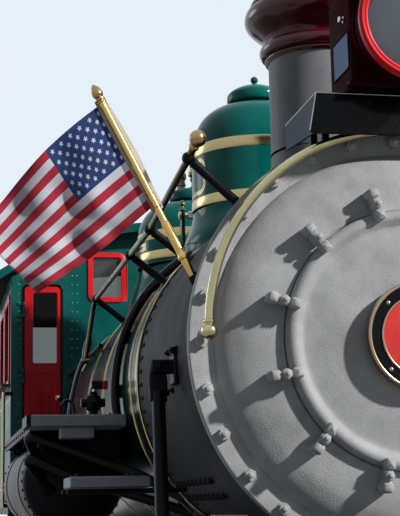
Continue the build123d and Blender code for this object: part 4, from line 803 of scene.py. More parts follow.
def make_stack():
    """Tall stack with a two-roll collar and a flared cap."""
    piece = Piece("stack_and_cap", finish="stack_grey")
    stud_circle, barrel_radius = 0.274, 0.197
    foot = [(0.29, 0.686), (0.29, 0.702), (0.286, 0.706), (0.262, 0.712)] + eased([(0.262, 0.712),
        (0.236, 0.728), (0.214, 0.765), (0.2, 0.82), (barrel_radius, 0.87)], 5)
    saddle_turned(piece, foot, stack_x, smokebox_radius, 0.3)
    upright = at((stack_x, 0, boiler_z))
    piece.turned([(barrel_radius, 0.87), (barrel_radius, 1.252), (0.19, 1.256)], upright, 96)
    collar = [(0.19, 1.25), (0.202, 1.251), (0.205, 1.256)]
    collar += arc(0.0075, -60, 60, 6, (0.204, 1.262))
    collar += arc(0.032, -62, 78, 14, (0.2, 1.3)) + [(0.208, 1.336)]
    piece.turned(collar, upright, 96, finish="dark_red_paint")
    cap = eased([(0.208, 1.336), (0.216, 1.35), (0.238, 1.37), (0.262, 1.39), (0.282, 1.412), (0.29, 1.436),
        (0.284, 1.466), (0.264, 1.486)], 5)
    piece.turned(cap, upright, 96, finish="dark_red_paint")
    piece.turned([(0.264, 1.486), (0.268, 1.49), (0.262, 1.506), (0.25, 1.516), (0.24, 1.518),
        (0.216, 1.518), (0.212, 1.512)], upright, 96)
    piece.turned([(0.212, 1.512), (0.2, 1.44), (0.15, 1.38), (0.15, 0.66)], upright, 64, finish="soot")
    for index in range(24):
        angle = 2 * math.pi * (index + 0.5) / 24
        y = stud_circle * math.sin(angle)
        z = boiler_z + 0.706 + math.sqrt(smokebox_radius**2 - y**2) - smokebox_radius
        piece.nut(at((stack_x + stud_circle * math.cos(angle), y, z)), 0.01, 0.009)
    for index in range(14):
        piece.rivet(set_at((stack_x - barrel_radius, 0, boiler_z + 0.9 + 0.027 * index), (-1, 0, 0)), 0.006)
    piece.done("stack", slot="graphite_grey")


def band_on(piece, radius, low, high, upright):
    """A polished band bent round an upright barrel."""
    proud = 0.0025
    middle = (low + high) / 2
    outline = [(radius - 0.004, low), (radius + proud * 0.6, low), (radius + proud, low + 0.003),
        (radius + proud * 1.5, middle), (radius + proud, high - 0.003), (radius + proud * 0.6, high),
        (radius - 0.004, high)]
    piece.turned(outline, upright, 96, finish="brass")


def painted_loop(piece, x, radius, first, last, low, high, width, corner):
    """A painted line around a rounded panel on an upright barrel, between two angles in degrees."""
    skin = radius + 0.0008
    span = math.radians(last - first) * radius
    outline = []
    for centre_u, centre_v, start in ((span - corner, corner, -90), (span - corner, high - low - corner, 0),
            (corner, high - low - corner, 90), (corner, corner, 180)):
        for u, v in arc(1.0, start, start + 90, 10):
            outline.append((centre_u, centre_v, u, v))
    points = []
    for reach in (corner, corner - width):
        for centre_u, centre_v, u, v in outline:
            angle = math.radians(first) + (centre_u + reach * u) / radius
            points.append((x + skin * math.cos(angle), skin * math.sin(angle),
                boiler_z + low + centre_v + reach * v))
    fine_points, fine_faces = [], []
    for corners in joined_rows(2, len(outline), False):
        ends = [Vector(points[number]) for number in corners]
        cuts = max(1, int((ends[1] - ends[0]).length / 0.012))
        for cut in range(cuts):
            base = len(fine_points)
            for share in (cut / cuts, (cut + 1) / cuts):
                for near, far in ((ends[0], ends[1]), (ends[3], ends[2])):
                    place = near.lerp(far, share)
                    flat = Vector((place.x - x, place.y, 0)).normalized() * skin
                    fine_points.append((x + flat.x, flat.y, place.z))
            fine_faces.append([base, base + 2, base + 3, base + 1])
    piece.add(fine_points, fine_faces, "gold_line")


dome_neck = 0.119


def make_dome(name, node, x, radius, flare, top, bands, panel, lid):
    """A polished dome on a flared base, with bands, painted panels and a lid."""
    piece = Piece(name, finish="dome_green")
    base = [(flare, 0.69), (flare, 0.704), (flare - 0.004, 0.709)] + eased([(flare - 0.004, 0.709),
        (flare - 0.028, 0.735), (radius + 0.044, 0.775), (radius + 0.014, 0.828), (radius + 0.002, 0.862),
        (radius, 0.88)], 6)
    saddle_turned(piece, base, x, jacket_radius, 0.3)
    upright = at((x, 0, boiler_z))
    body = [(radius, 0.88), (radius, top - 0.385)]
    body += eased([(radius, top - 0.385), (radius - 0.005, top - 0.308), (radius - 0.022, top - 0.248),
        (radius - 0.056, top - 0.191), (radius - 0.112, top - 0.148), (0.128, top - 0.124),
        (dome_neck, top - 0.119)], 6)[1:]
    piece.turned(body, upright, 96)
    piece.turned([(dome_neck, top - 0.119), (dome_neck, top - 0.11)], upright, 64, finish="soot")
    piece.turned(lid, upright, 96)
    for low, high, band_radius in bands:
        band_on(piece, band_radius, low, high, upright)
    for middle in (90, 270):
        painted_loop(piece, x, radius + 0.0008, middle - panel[0], middle + panel[0], panel[1], panel[2],
            0.02, 0.05)
    band = [(flare + 0.001, 0.69), (flare + 0.0012, 0.7)]
    saddle_turned(piece, band, x, jacket_radius, 10.0, "brass")
    piece.done(node, slot="dome_green")


def make_domes():
    lid_radius = 0.136
    top = 1.512
    lid = [(dome_neck, top - 0.11), (0.133, top - 0.108), (lid_radius, top - 0.104),
        (lid_radius, top - 0.082)]
    lid += eased([(lid_radius, top - 0.082), (0.132, top - 0.064), (0.112, top - 0.045),
        (0.075, top - 0.027), (0.03, top - 0.015), (0.011, top - 0.012)], 5)[1:]
    lid += [(0.009, top - 0.002)] + arc(0.0185, -61, 80, 10, (0, top + 0.015)) + [(0, top + 0.0335)]
    make_dome("sand_dome_casing", "sand_dome", sand_dome_x, 0.313, 0.39, top,
        ((1.116, 1.166, 0.3125), (0.866, 0.912, 0.3135)), (26, 0.925, 1.1), lid)
    top = 1.4
    lid = [(dome_neck, top - 0.11), (0.133, top - 0.108), (lid_radius, top - 0.104),
        (lid_radius, top - 0.076)]
    lid += [(0.132, top - 0.06), (0.118, top - 0.046), (0.1, top - 0.041), (0, top - 0.04)]
    make_dome("steam_dome_casing", "steam_dome", steam_dome_x, 0.333, 0.42, top,
        ((1.021, 1.073, 0.3325), (0.904, 0.952, 0.3335)), (24, 0.96, 1.014), lid)


# The headlight and its shelf

lamp_z = boiler_z + 1.01
lamp_front = ring_x + 0.31
shelf_top = boiler_z + 0.815
shelf_front = ring_x + 0.119
shelf_rear = ring_x - 0.275


def surround(piece, left, right, low, high, width, corner, thick, finish, matrix, edge=0.002):
    """A raised frame round an opening, with round corners, as one closed ring of plate."""
    outer = rounded(left - width, right + width, low - width, high + width, corner + width)
    inner = rounded(left, right, low, high, corner)
    shrunk = rounded(left - width + edge, right + width - edge, low - width + edge, high + width - edge,
        corner + width)
    grown = rounded(left - edge, right + edge, low - edge, high + edge, corner + edge)
    rows = [(inner, 0.0), (inner, thick - edge), (grown, thick), (shrunk, thick), (outer, thick - edge),
        (outer, 0.0)]
    points = [(x, y, height) for row, height in rows for x, y in row]
    piece.add(points, joined_rows(len(rows), len(outer), True), finish, matrix)


def make_headlight():
    """Box lamp with side panes painted in a sky reflection, a drum, a bright rim and a chimney."""
    piece = Piece("headlight_case", finish="lamp_red")
    drum_radius = 0.19
    box_front = ring_x + 0.2
    box_rear = ring_x - 0.045
    top = boiler_z + 1.19
    piece.slab(rounded(box_rear, box_front, -0.199, 0.199, 0.018), shelf_top, top, edge=0.012)
    rim = rounded(box_rear - 0.008, box_front + 0.008, -0.2, 0.2, 0.02)
    piece.slab(rim, shelf_top, shelf_top + 0.016, edge=0.005)
    piece.slab(rim, top - 0.014, top + 0.006, edge=0.006)
    drum = set_at((0, 0, lamp_z), forward)
    piece.turned([(drum_radius, box_front - 0.006), (drum_radius, lamp_front - 0.03),
        (0.178, lamp_front - 0.03)], drum, 96)
    piece.turned([(drum_radius, box_front - 0.001), (0.197, box_front + 0.004), (0.197, box_front + 0.014),
        (drum_radius, box_front + 0.018)], drum, 96)
    piece.turned([(0.178, lamp_front - 0.034), (0.198, lamp_front - 0.034)]
        + arc(0.016, -60, 60, 8, (0.188, lamp_front - 0.01)) + [(0.186, lamp_front - 0.001)], drum, 96,
        finish="door_red")
    piece.turned([(0.186, lamp_front - 0.001)] + arc(0.007, 80, 170, 6, (0.181, lamp_front - 0.006))
        + [(0.171, lamp_front - 0.02)], drum, 96, finish="red_paint")
    bowl = eased([(0.169, lamp_front - 0.03), (0.15, lamp_front - 0.11), (0.115, lamp_front - 0.18),
        (0.065, lamp_front - 0.222), (0.028, lamp_front - 0.232)], 5)
    piece.turned(bowl, drum, 72, finish="reflector")
    piece.turned([(0.028, lamp_front - 0.232), (0.028, lamp_front - 0.19), (0.02, lamp_front - 0.18)], drum,
        24, finish="brass")
    piece.turned([(0.018, lamp_front - 0.185), (0.026, lamp_front - 0.16), (0.024, lamp_front - 0.13),
        (0, lamp_front - 0.118)], drum, 24, finish="dial_white")
    for side in (-1, 1):
        wall = beside(side, 0, 0.1985, 0)
        left, right = sorted((-side * (ring_x + 0.008), -side * (ring_x + 0.172)))
        low, high = boiler_z + 0.888, boiler_z + 1.008
        # The side panes are opaque, painted blue as a sky reflection.
        piece.slab(rounded(left, right, low, high, 0.006), -0.001, 0.0025, wall, 0.001, finish="lamp_pane_painted_sky")
        surround(piece, left, right, low, high, 0.006, 0.006, 0.0045, "lamp_red", wall, 0.0015)
        knob = beside(side, ring_x + 0.125, 0.197, boiler_z + 1.067)
        piece.turned([(0.011, 0), (0.011, 0.003), (0.005, 0.005), (0.005, 0.009), (0.01, 0.011),
            (0.011, 0.015), (0.009, 0.018), (0, 0.0185)], knob, 24, finish="steel")
        for x in (box_rear + 0.02, box_front - 0.02):
            for height in (0.835, 1.165):
                piece.rivet(beside(side, x, 0.198, boiler_z + height), 0.0055)
    chimney = at((ring_x + 0.078, 0, boiler_z))
    piece.turned([(0.152, 1.186), (0.152, 1.194), (0.14, 1.204), (0.118, 1.228), (0.084, 1.238),
        (0.079, 1.244), (0.079, 1.278), (0.098, 1.283), (0.102, 1.288), (0.098, 1.293)]
        + eased([(0.098, 1.293), (0.06, 1.308), (0.02, 1.318), (0.0, 1.32)], 4), chimney, 64)
    for x in (box_rear + 0.012, box_front - 0.012):
        for side in (-1, 1):
            piece.block((x - 0.022, side * 0.175, shelf_top), (x + 0.022, side * 0.212, shelf_top + 0.008))
            piece.nut(at((x, side * 0.205, shelf_top + 0.008)), 0.007, 0.005, finish="gloss_black")
    piece.done("headlight", slot="dark_red_paint")
    lens = Piece("headlight_glass", finish="lens_glass")
    domed = eased([(0, lamp_front - 0.006), (0.08, lamp_front - 0.01), (0.14, lamp_front - 0.02),
        (0.1705, lamp_front - 0.03)], 5)
    lens.turned(domed + [(0.1705, lamp_front - 0.034), (0, lamp_front - 0.034)], drum, 72)
    lens.done("headlight_lens", slot="lens_glass")


def make_shelf():
    """Headlight shelf with its deep apron and side plates on brackets."""
    piece = Piece("headlight_bracket_shelf", finish="gloss_black")
    piece.slab(rounded(shelf_rear, shelf_front - 0.002, -0.3, 0.3, 0.008), shelf_top - 0.01, shelf_top,
        edge=0.003)
    bracket_y = 0.215
    seat_z = boiler_z + math.sqrt(smokebox_radius**2 - bracket_y**2)
    apron_low = shelf_top - 0.142
    face = set_at((shelf_front - 0.008, 0, 0), forward)
    apron = [(-0.3, shelf_top), (-0.326, apron_low + 0.01), (-0.316, apron_low)]
    for y in (-0.2, -0.1, 0.0, 0.1, 0.2):
        apron.append((y, apron_low + 0.004 * (1 - abs(y) / 0.3)))
    apron += [(0.316, apron_low), (0.326, apron_low + 0.01), (0.3, shelf_top)]
    piece.slab(apron, 0.0, 0.008, face, 0.002)
    piece.rod((shelf_front - 0.001, -0.3, shelf_top - 0.002), (shelf_front - 0.001, 0.3, shelf_top - 0.002),
        0.0018, 12, finish="steel")
    for side in (-1, 1):
        piece.rod((shelf_front - 0.001, side * 0.325, apron_low + 0.01),
            (shelf_front - 0.001, side * 0.3, shelf_top - 0.002), 0.0018, 12, finish="steel")
        wall = beside(side, 0, 0.292, 0)
        rear, front = -side * shelf_rear, -side * (shelf_front - 0.008)
        outline = [(rear, shelf_top - 0.095), (rear, shelf_top - 0.002), (front, shelf_top - 0.002),
            (front, shelf_top - 0.132)]
        # Side plates in blue-grey, a painted sky reflection on black plate.
        piece.slab(outline, 0.0, 0.008, wall, 0.002, finish="shelf_side_painted_sky")
        piece.rod((shelf_rear, side * 0.2995, shelf_top - 0.002),
            (shelf_front - 0.006, side * 0.2995, shelf_top - 0.002), 0.0022, 12, finish="steel")
        for x in (ring_x - 0.215, ring_x - 0.075):
            piece.block((x - 0.012, side * 0.203, seat_z - 0.002),
                (x + 0.012, side * 0.227, shelf_top - 0.006), 0.004, finish="black_iron")
            piece.block((x - 0.03, side * 0.19, seat_z), (x + 0.03, side * 0.245, seat_z + 0.012), 0.004,
                finish="black_iron")
            piece.nut(at((x, side * bracket_y, shelf_top)), 0.01, 0.008)
    for y in (-0.24, -0.12, 0.0, 0.12, 0.24):
        piece.rivet(set_at((shelf_front, y, shelf_top - 0.024), forward), 0.0065)
    piece.done("headlight_shelf", slot="black_iron")


# Handrails, flagstaffs and flags

handrail_top = (0.7, 0.547)
post_backs = (0.856, 1.394, 2.61)


def make_handrails():
    """Old brass handrails on black turned posts, with a bronze ball at the front end."""
    piece = Piece("boiler_handrails", finish="old_brass")
    for side in (-1, 1):
        front_post = Vector((ring_x - 0.08, side * 0.693, boiler_z + 0.629))
        y, z = side * handrail_top[0], boiler_z + handrail_top[1]
        knee = Vector((ring_x - 0.856, y, z))
        rear = Vector((ring_x - 2.68, y, z))
        foot = Vector((ring_x - 2.79, side * 0.735, boiler_z + 0.25))
        tip = Vector((ring_x - 0.015, side * 0.673, boiler_z + 0.68))
        route = [tip, front_post, front_post.lerp(knee, 0.5), knee.lerp(front_post, 0.06), knee,
            knee.lerp(rear, 0.04)]
        route += [knee.lerp(rear, share) for share in (0.3, 0.6, 0.9)]
        bend = 0.09
        for step in range(7):
            share = step / 6
            start, end = rear + Vector((bend, 0, 0)), rear.lerp(foot, 0.28)
            route.append(start.lerp(rear, share).lerp(rear.lerp(end, share), share))
        route += [rear.lerp(foot, 0.6), foot]
        piece.pipe(route, 0.0125, 20)
        piece.turned([(0, -0.029)] + arc(0.029, -80, 62, 14)
            + [(0.0135, 0.027), (0.0175, 0.031), (0.0175, 0.04), (0.0128, 0.044)],
            set_at(tip, front_post - tip), 28, finish="bronze")
        posts = [front_post] + [Vector((ring_x - back, y, z)) for back in post_backs]
        for post in posts:
            away = Vector((0, post.y, post.z - boiler_z))
            radius = smokebox_radius if post.x > jacket_front_x else jacket_radius
            base = Vector((post.x, 0, boiler_z)) + away.normalized() * (radius - 0.001)
            reach = (post - base).length
            stem = [(0.03, -0.006), (0.03, 0.005), (0.026, 0.009), (0.018, 0.014), (0.0165, 0.03),
                (0.0155, reach * 0.5), (0.016, reach - 0.032), (0.0185, reach - 0.022)]
            piece.turned(stem + arc(0.0225, -48, 88, 10, (0, reach)), set_at(base, away), 24,
                finish="black_iron")
        piece.turned([(0.024, -0.004), (0.024, 0.006), (0.0165, 0.012)], set_at(foot, rear - foot), 24)
    piece.done("handrails", slot="brass")


staff_x = ring_x - 0.11
staff_foot = Vector((0.678, 0.233))
staff_tip = Vector((1.0, 0.862))


def make_flagstaffs():
    """Golden staffs in black sockets, each with a ferrule and an acorn at its tip."""
    piece = Piece("brass_flagstaffs", finish="black_iron")
    for side in (-1, 1):
        foot = Vector((staff_x, side * staff_foot.x, boiler_z + staff_foot.y))
        tip = Vector((staff_x, side * staff_tip.x, boiler_z + staff_tip.y))
        run = (tip - foot).normalized()
        length = (tip - foot).length
        place = set_at(foot, run)
        shaft = [(0.0105, 0.0), (0.0125, 0.03), (0.0145, 0.06), (0.0145, 0.066), (0.0185, 0.069),
            (0.0185, 0.078), (0.015, 0.082), (0.014, 0.1), (0.014, 0.2), (0.012, 0.205), (0.0115, 0.21),
            (0.0115, length - 0.03)]
        piece.turned(shaft, place, 28, finish="staff_brass")
        acorn = [(0.0115, length - 0.04), (0.0165, length - 0.037), (0.0165, length - 0.031),
            (0.012, length - 0.028)]
        acorn += eased([(0.012, length - 0.028), (0.018, length - 0.02), (0.0187, length - 0.008),
            (0.015, length + 0.006), (0.0075, length + 0.016), (0.003, length + 0.021),
            (0, length + 0.0225)], 4)
        piece.turned(acorn, place, 28, finish="bronze")
        piece.turned([(0.02, -0.024), (0.02, 0.001), (0.018, 0.004), (0.0105, 0.004)], place, 28)
        flat = Vector((0, foot.y, foot.z - boiler_z)).normalized()
        seat = Vector((staff_x, 0, boiler_z)) + flat * (smokebox_radius - 0.002)
        piece.turned([(0.036, 0), (0.036, 0.009), (0.032, 0.012), (0.02, 0.016), (0.018, 0.03)],
            set_at(seat, flat), 28)
        for offset in (-0.026, 0.026):
            spot = seat + Vector((offset, 0, 0)) + flat * 0.01
            piece.nut(set_at(spot, flat), 0.006, 0.005)
    piece.done("flagstaffs", slot="brass")


flag_rows = 26
flag_columns = 42
flag_top_edge = ((0.9916, 0.8084), (1.081, 0.733), (1.1696, 0.6472), (1.244, 0.558), (1.3152, 0.4638),
    (1.3914, 0.3691))
flag_low_edge = ((0.8153, 0.4634), (0.891, 0.397), (0.966, 0.333), (1.042, 0.274), (1.119, 0.222),
    (1.194, 0.1706))
flag_sweep = 0.11
header_gap = 0.0126
header_edge = ((0.252, 0.0215), (0.257, 0.0226), (0.338, 0.0254), (0.452, 0.0319), (0.556, 0.0278),
    (0.668, 0.02), (0.674, 0.0193))


def on_edge(edge, share):
    """A place along one of the flag's long edges, from evenly shared points."""
    spot = share * (len(edge) - 1)
    index = min(int(spot), len(edge) - 2)
    before = Vector(edge[max(index - 1, 0)])
    first, last = Vector(edge[index]), Vector(edge[index + 1])
    after = Vector(edge[min(index + 2, len(edge) - 1)])
    t = spot - index
    part = 2 * first + (last - before) * t + (2 * before - 5 * first + 4 * last - after) * t**2
    return 0.5 * (part + (3 * first - before - 3 * last + after) * t**3)


def flag_place(side, along, across):
    """A place on the flag, from its share along the fly and its share down the hoist; the fly hangs back."""
    flat = on_edge(flag_top_edge, along).lerp(on_edge(flag_low_edge, along), across)
    loose = min(1.0, 3.0 * along)
    wave = 0.016 * math.sin(5.2 * along + 1.9 * across + 0.6) * loose
    wave += 0.012 * math.sin(15.0 * along - 5.5 * across + 0.4) * loose
    wave += 0.006 * math.sin(29.0 * along + 7.0 * across + 1.0) * loose * (0.4 + 0.6 * across)
    x = staff_x - header_gap - flag_sweep * along**1.3 + wave
    toward = Vector((staff_x, -flat.x, boiler_z + flat.y)) - camera_place
    place = camera_place + toward * ((x - camera_place.x) / toward.x)
    return Vector((x, -side * place.y, place.z))


def make_flags():
    """Draped striped flags, each sewn round its staff by a cloth sleeve."""
    for name, side in sides:
        points, faces, places = [], [], []
        for column in range(flag_columns + 1):
            for row in range(flag_rows + 1):
                along, across = column / flag_columns, row / flag_rows
                points.append(flag_place(side, along, across))
                places.append((along, 1 - across))
        for column in range(flag_columns):
            for row in range(flag_rows):
                corner = column * (flag_rows + 1) + row
                faces.append([corner, corner + 1, corner + flag_rows + 2, corner + flag_rows + 1])
        mesh = bpy.data.meshes.new(f"flag_cloth_{name}")
        mesh.from_pydata([tuple(point) for point in points], [], faces)
        layer = mesh.uv_layers.new(name="flag")
        for loop in mesh.loops:
            layer.data[loop.index].uv = places[loop.vertex_index]
        mesh.materials.append(finishes["flag_cloth"])
        mesh.shade_smooth()
        cloth = bpy.data.objects.new(f"flag_cloth_{name}", mesh)
        bpy.context.scene.collection.objects.link(cloth)
        solid = cloth.modifiers.new("thickness", "SOLIDIFY")
        solid.thickness = 0.0012
        solid.offset = 0.0
        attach(cloth, "chassis")
        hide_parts(f"flag_{name}")
        header = Piece(f"flag_header_{name}", finish="brass")
        run = (staff_tip - staff_foot).normalized()
        inboard = Vector((-run.y, run.x))
        points, count = [], len(header_edge)
        for depth in (header_gap - 0.0009, header_gap + 0.0009):
            for along, reach in header_edge:
                for offset in (-0.02, reach):
                    spot = staff_foot + run * along + inboard * offset
                    points.append((staff_x - depth, side * spot.x, boiler_z + spot.y))
        faces = []
        for step in range(count - 1):
            near, far = 2 * step, 2 * step + 2
            faces.append([near, near + 1, far + 1, far])
            faces.append([2 * count + near, 2 * count + far, 2 * count + far + 1, 2 * count + near + 1])
            for edge in (0, 1):
                faces.append([near + edge, far + edge, 2 * count + far + edge, 2 * count + near + edge])
        faces.append([0, 1, 2 * count + 1, 2 * count])
        last = 2 * count - 2
        faces.append([last, last + 1, 2 * count + last + 1, 2 * count + last])
        header.add(points, faces, "cream_cloth")
        for along in (0.262, 0.662):
            spot = staff_foot + run * along
            centre = Vector((staff_x, side * spot.x, boiler_z + spot.y))
            axis = Vector((0, side * run.x, run.y))
            turns = [math.radians(20 * step) for step in range(18)]
            ring = [centre + 0.0145 * (math.cos(turn) * forward + math.sin(turn) * axis.cross(forward))
                for turn in turns]
            header.pipe(ring, 0.0022, 8, closed=True)
        header.done(slot="flag_cloth", sharp=60)
        flag_length(side)


def flag_length(side):
    """The flag's cut length, worked out from its middle line."""
    line = [flag_place(side, step / 40, 0.5) for step in range(41)]
    return sum((after - before).length for before, after in zip(line, line[1:]))


# The boiler and what stands on it

band_backs = (1.285, 1.48, 2.4, 3.06, 4.04)


def make_boiler():
    """Lagged boiler in painted sheet, with its firebox and the backhead in the cab."""
    piece = Piece("boiler_jacket", finish="black_iron")
    rear = jacket_rear_x
    firebox_half = 0.33
    outline = [(0, rear), (0.64, rear), (0.662, rear + 0.004), (0.684, rear + 0.014),
        (jacket_radius, rear + 0.034)]
    piece.turned(outline, boiler_line, 128)
    piece.turned([(jacket_radius, rear + 0.034), (jacket_radius, cab_front_x - 0.03)], boiler_line, 128)
    stops = [cab_front_x - 0.03] + [ring_x - back for back in reversed(band_backs)] + [jacket_front_x]
    for first, last in zip(stops, stops[1:]):
        length = last - first
        points = [(jacket_radius, first)]
        for step in range(1, 8):
            points.append((jacket_radius - 0.0006 * math.sin(math.pi * step / 8), first + length * step / 8))
        points.append((jacket_radius, last))
        piece.turned(points, boiler_line, 128, finish="boiler_green")
    piece.turned([(jacket_radius, jacket_front_x), (0.688, jacket_front_x + 0.001)], boiler_line, 96)
    piece.block((rear + 0.06, -firebox_half, 0.9), (main_axle_x - 0.06, firebox_half, boiler_z - 0.45), 0.02)
    for x in (rear + 0.09, main_axle_x - 0.09):
        for row in range(11):
            for side in (-1, 1):
                piece.rivet(beside(side, x, firebox_half, 0.96 + 0.055 * row), 0.01)
    for row in range(4):
        for column in range(9):
            for side in (-1, 1):
                place = (rear + 0.2 + 0.14 * column, side * firebox_half, 1.0 + 0.15 * row)
                if place[0] < main_axle_x - 0.12:
                    piece.rivet(set_at(place, (0, side, 0)), 0.008)
    for index in range(40):
        piece.rivet(set_at(around(9 * index + 4.5, 0.64, rear), (-1, 0, 0)), 0.011)
    piece.done("boiler", slot="boiler_green")


def make_boiler_bands():
    piece = Piece("brass_bands", finish="brass")
    half = 0.025
    for back in band_backs:
        x = ring_x - back
        outline = [(0.6955, x - half), (0.6995, x - half + 0.001), (0.6998, x), (0.6995, x + half - 0.001),
            (0.6955, x + half)]
        piece.turned(outline, boiler_line, 144)
        piece.block((x - half, -0.014, boiler_z - 0.706), (x + half, 0.014, boiler_z - 0.694),
            finish="steel")
    piece.done("boiler_bands", slot="brass")


bell_pivot_z = boiler_z + jacket_radius + 0.33


def make_bell():
    """Brass bell in a black cradle with turned finials."""
    stand = Piece("bell_cradle", finish="gloss_black")
    saddle_z = boiler_z + jacket_radius
    for side in (-1, 1):
        wall = beside(side, 0, 0.205, 0)
        foot_z = saddle_z + 0.02
        half = [(0.064, foot_z - 0.01), (0.062, foot_z + 0.02), (0.045, foot_z + 0.1), (0.03, foot_z + 0.2),
            (0.026, bell_pivot_z - 0.03)]
        centre = -side * bell_x
        outline = [(centre + x, z) for x, z in half] + [(centre - x, z) for x, z in reversed(half)]
        outline = outline[:len(half)] + arc(0.03, 0, 180, 10, (centre, bell_pivot_z)) + outline[len(half):]
        stand.slab(outline, 0.001, 0.019, wall, 0.005)
        stand.rod((bell_x, side * 0.222, bell_pivot_z), (bell_x, side * 0.232, bell_pivot_z), 0.024,
            finish="brass")
        stand.turned([(0.02, 0), (0.012, 0.01), (0.01, 0.022), (0.018, 0.034), (0.016, 0.046),
            (0.006, 0.056), (0, 0.058)], at((bell_x, side * 0.215, bell_pivot_z + 0.026)), 24,
            finish="old_brass")
        stand.block((bell_x - 0.07, side * 0.16, saddle_z - 0.036),
            (bell_x + 0.07, side * 0.232, saddle_z + 0.022), 0.008)
        for x in (-0.05, 0.05):
            stand.nut(at((bell_x + x, side * 0.18, saddle_z + 0.022)), 0.01)
    stand.block((bell_x - 0.045, -0.2, saddle_z - 0.012), (bell_x + 0.045, 0.2, saddle_z + 0.01), 0.008)
    stand.done("bell_stand", slot="black_iron")
    piece = Piece("brass_bell", "bell", finish="steel")
    shape = [(0.0, -0.02), (0.04, -0.022), (0.066, -0.032), (0.086, -0.058), (0.094, -0.105), (0.099, -0.15),
        (0.11, -0.188), (0.13, -0.218), (0.152, -0.238)]
    outline = eased(shape, 4) + [(0.158, -0.243), (0.158, -0.249), (0.15, -0.25), (0.14, -0.247)]
    outline += [(0.118, -0.215), (0.098, -0.18), (0.084, -0.12), (0.072, -0.06), (0.0, -0.044)]
    hung = at((bell_x, 0, bell_pivot_z))
    piece.turned(outline, hung, 72, finish="brass")
    for radius, height in ((0.121, -0.205), (0.1035, -0.165)):
        piece.turned([(radius - 0.002, height - 0.004), (radius + 0.003, height),
            (radius - 0.003, height + 0.005)], hung, 72, finish="brass")
    piece.block((bell_x - 0.016, -0.19, bell_pivot_z - 0.02), (bell_x + 0.016, 0.19, bell_pivot_z + 0.02),
        0.005)
    piece.rod((bell_x, -0.236, bell_pivot_z), (bell_x, 0.236, bell_pivot_z), 0.0155)
    piece.turned([(0.022, 0.0), (0.022, 0.006), (0.012, 0.012), (0.012, 0.024), (0, 0.028)],
        at((bell_x, 0, bell_pivot_z + 0.018)), 24, finish="brass")
    piece.rod((bell_x, 0, bell_pivot_z - 0.05), (bell_x, 0, bell_pivot_z - 0.215), 0.009)
    piece.ball((bell_x, 0, bell_pivot_z - 0.215), 0.028)
    piece.done("bell", slot="brass")


def make_safety_valves():
    """Two pop valves and a whistle on the steam dome."""
    piece = Piece("valves_and_whistle", finish="old_brass")
    foot = boiler_z + 1.4 - 0.04
    for y in (-0.062, 0.062):
        place = at((steam_dome_x - 0.02, y, foot))
        piece.turned([(0.034, 0.0), (0.034, 0.008), (0.026, 0.012), (0.024, 0.03), (0.03, 0.034),
            (0.03, 0.048), (0.025, 0.052), (0.025, 0.07), (0.033, 0.078), (0.034, 0.105), (0.03, 0.112),
            (0.022, 0.116), (0.02, 0.13), (0.012, 0.138), (0, 0.14)], place, 32)
    place = at((steam_dome_x + 0.075, 0, foot))
    piece.turned([(0.026, 0.0), (0.026, 0.006), (0.016, 0.012), (0.016, 0.04), (0.024, 0.046), (0.024, 0.06),
        (0.017, 0.064), (0.034, 0.076), (0.034, 0.084), (0.028, 0.086), (0.028, 0.092)], place, 32)
    piece.turned([(0.031, 0.092), (0.032, 0.094), (0.032, 0.146), (0.03, 0.152), (0.018, 0.16),
        (0.01, 0.162), (0.008, 0.168), (0, 0.17)], place, 32, finish="brass")
    piece.block((steam_dome_x + 0.055, -0.004, foot + 0.05), (steam_dome_x + 0.095, 0.03, foot + 0.056),
        0.002, finish="steel")
    piece.done("safety_valves", slot="brass")


# Platforms, pipes and tanks beside the boiler

board_top = 1.895
tank_y = 0.886
tank_z = 1.637
deck_top = 1.091


def make_front_steps():
    """Treads beside the smokebox, on round brackets and square posts."""
    piece = Piece("side_treads", finish="black_iron")
    for side in (-1, 1):
        piece.block((ring_x - 1.15, side * 0.705, 1.583), (ring_x - 0.88, side * 1.01, 1.627), 0.005,
            finish="tread_grey")
        piece.block((ring_x - 0.6, side * 0.702, 1.313), (ring_x - 0.33, side * 1.04, 1.359), 0.005,
            finish="tread_grey")
        for x in (ring_x - 1.11, ring_x - 0.92):
            piece.rod((x, side * 0.56, 1.572), (x, side * 1.02, 1.572), 0.009)
            for y in (0.76, 0.98):
                piece.nut(at((x, side * y, 1.627)), 0.009, 0.006)
        for back, y, foot in ((0.38, 0.72, deck_top), (0.38, 1.02, deck_top), (0.56, 0.72, 1.085),
                (0.56, 0.95, 1.085)):
            x = ring_x - back
            piece.block((x - 0.01, side * y - 0.01, foot), (x + 0.01, side * y + 0.01, 1.315))
            piece.block((x - 0.024, side * y - 0.024, foot), (x + 0.024, side * y + 0.024, foot + 0.01))
            piece.nut(at((x, side * y, 1.359)), 0.009, 0.006)
    piece.done("front_steps", slot="tread_grey")


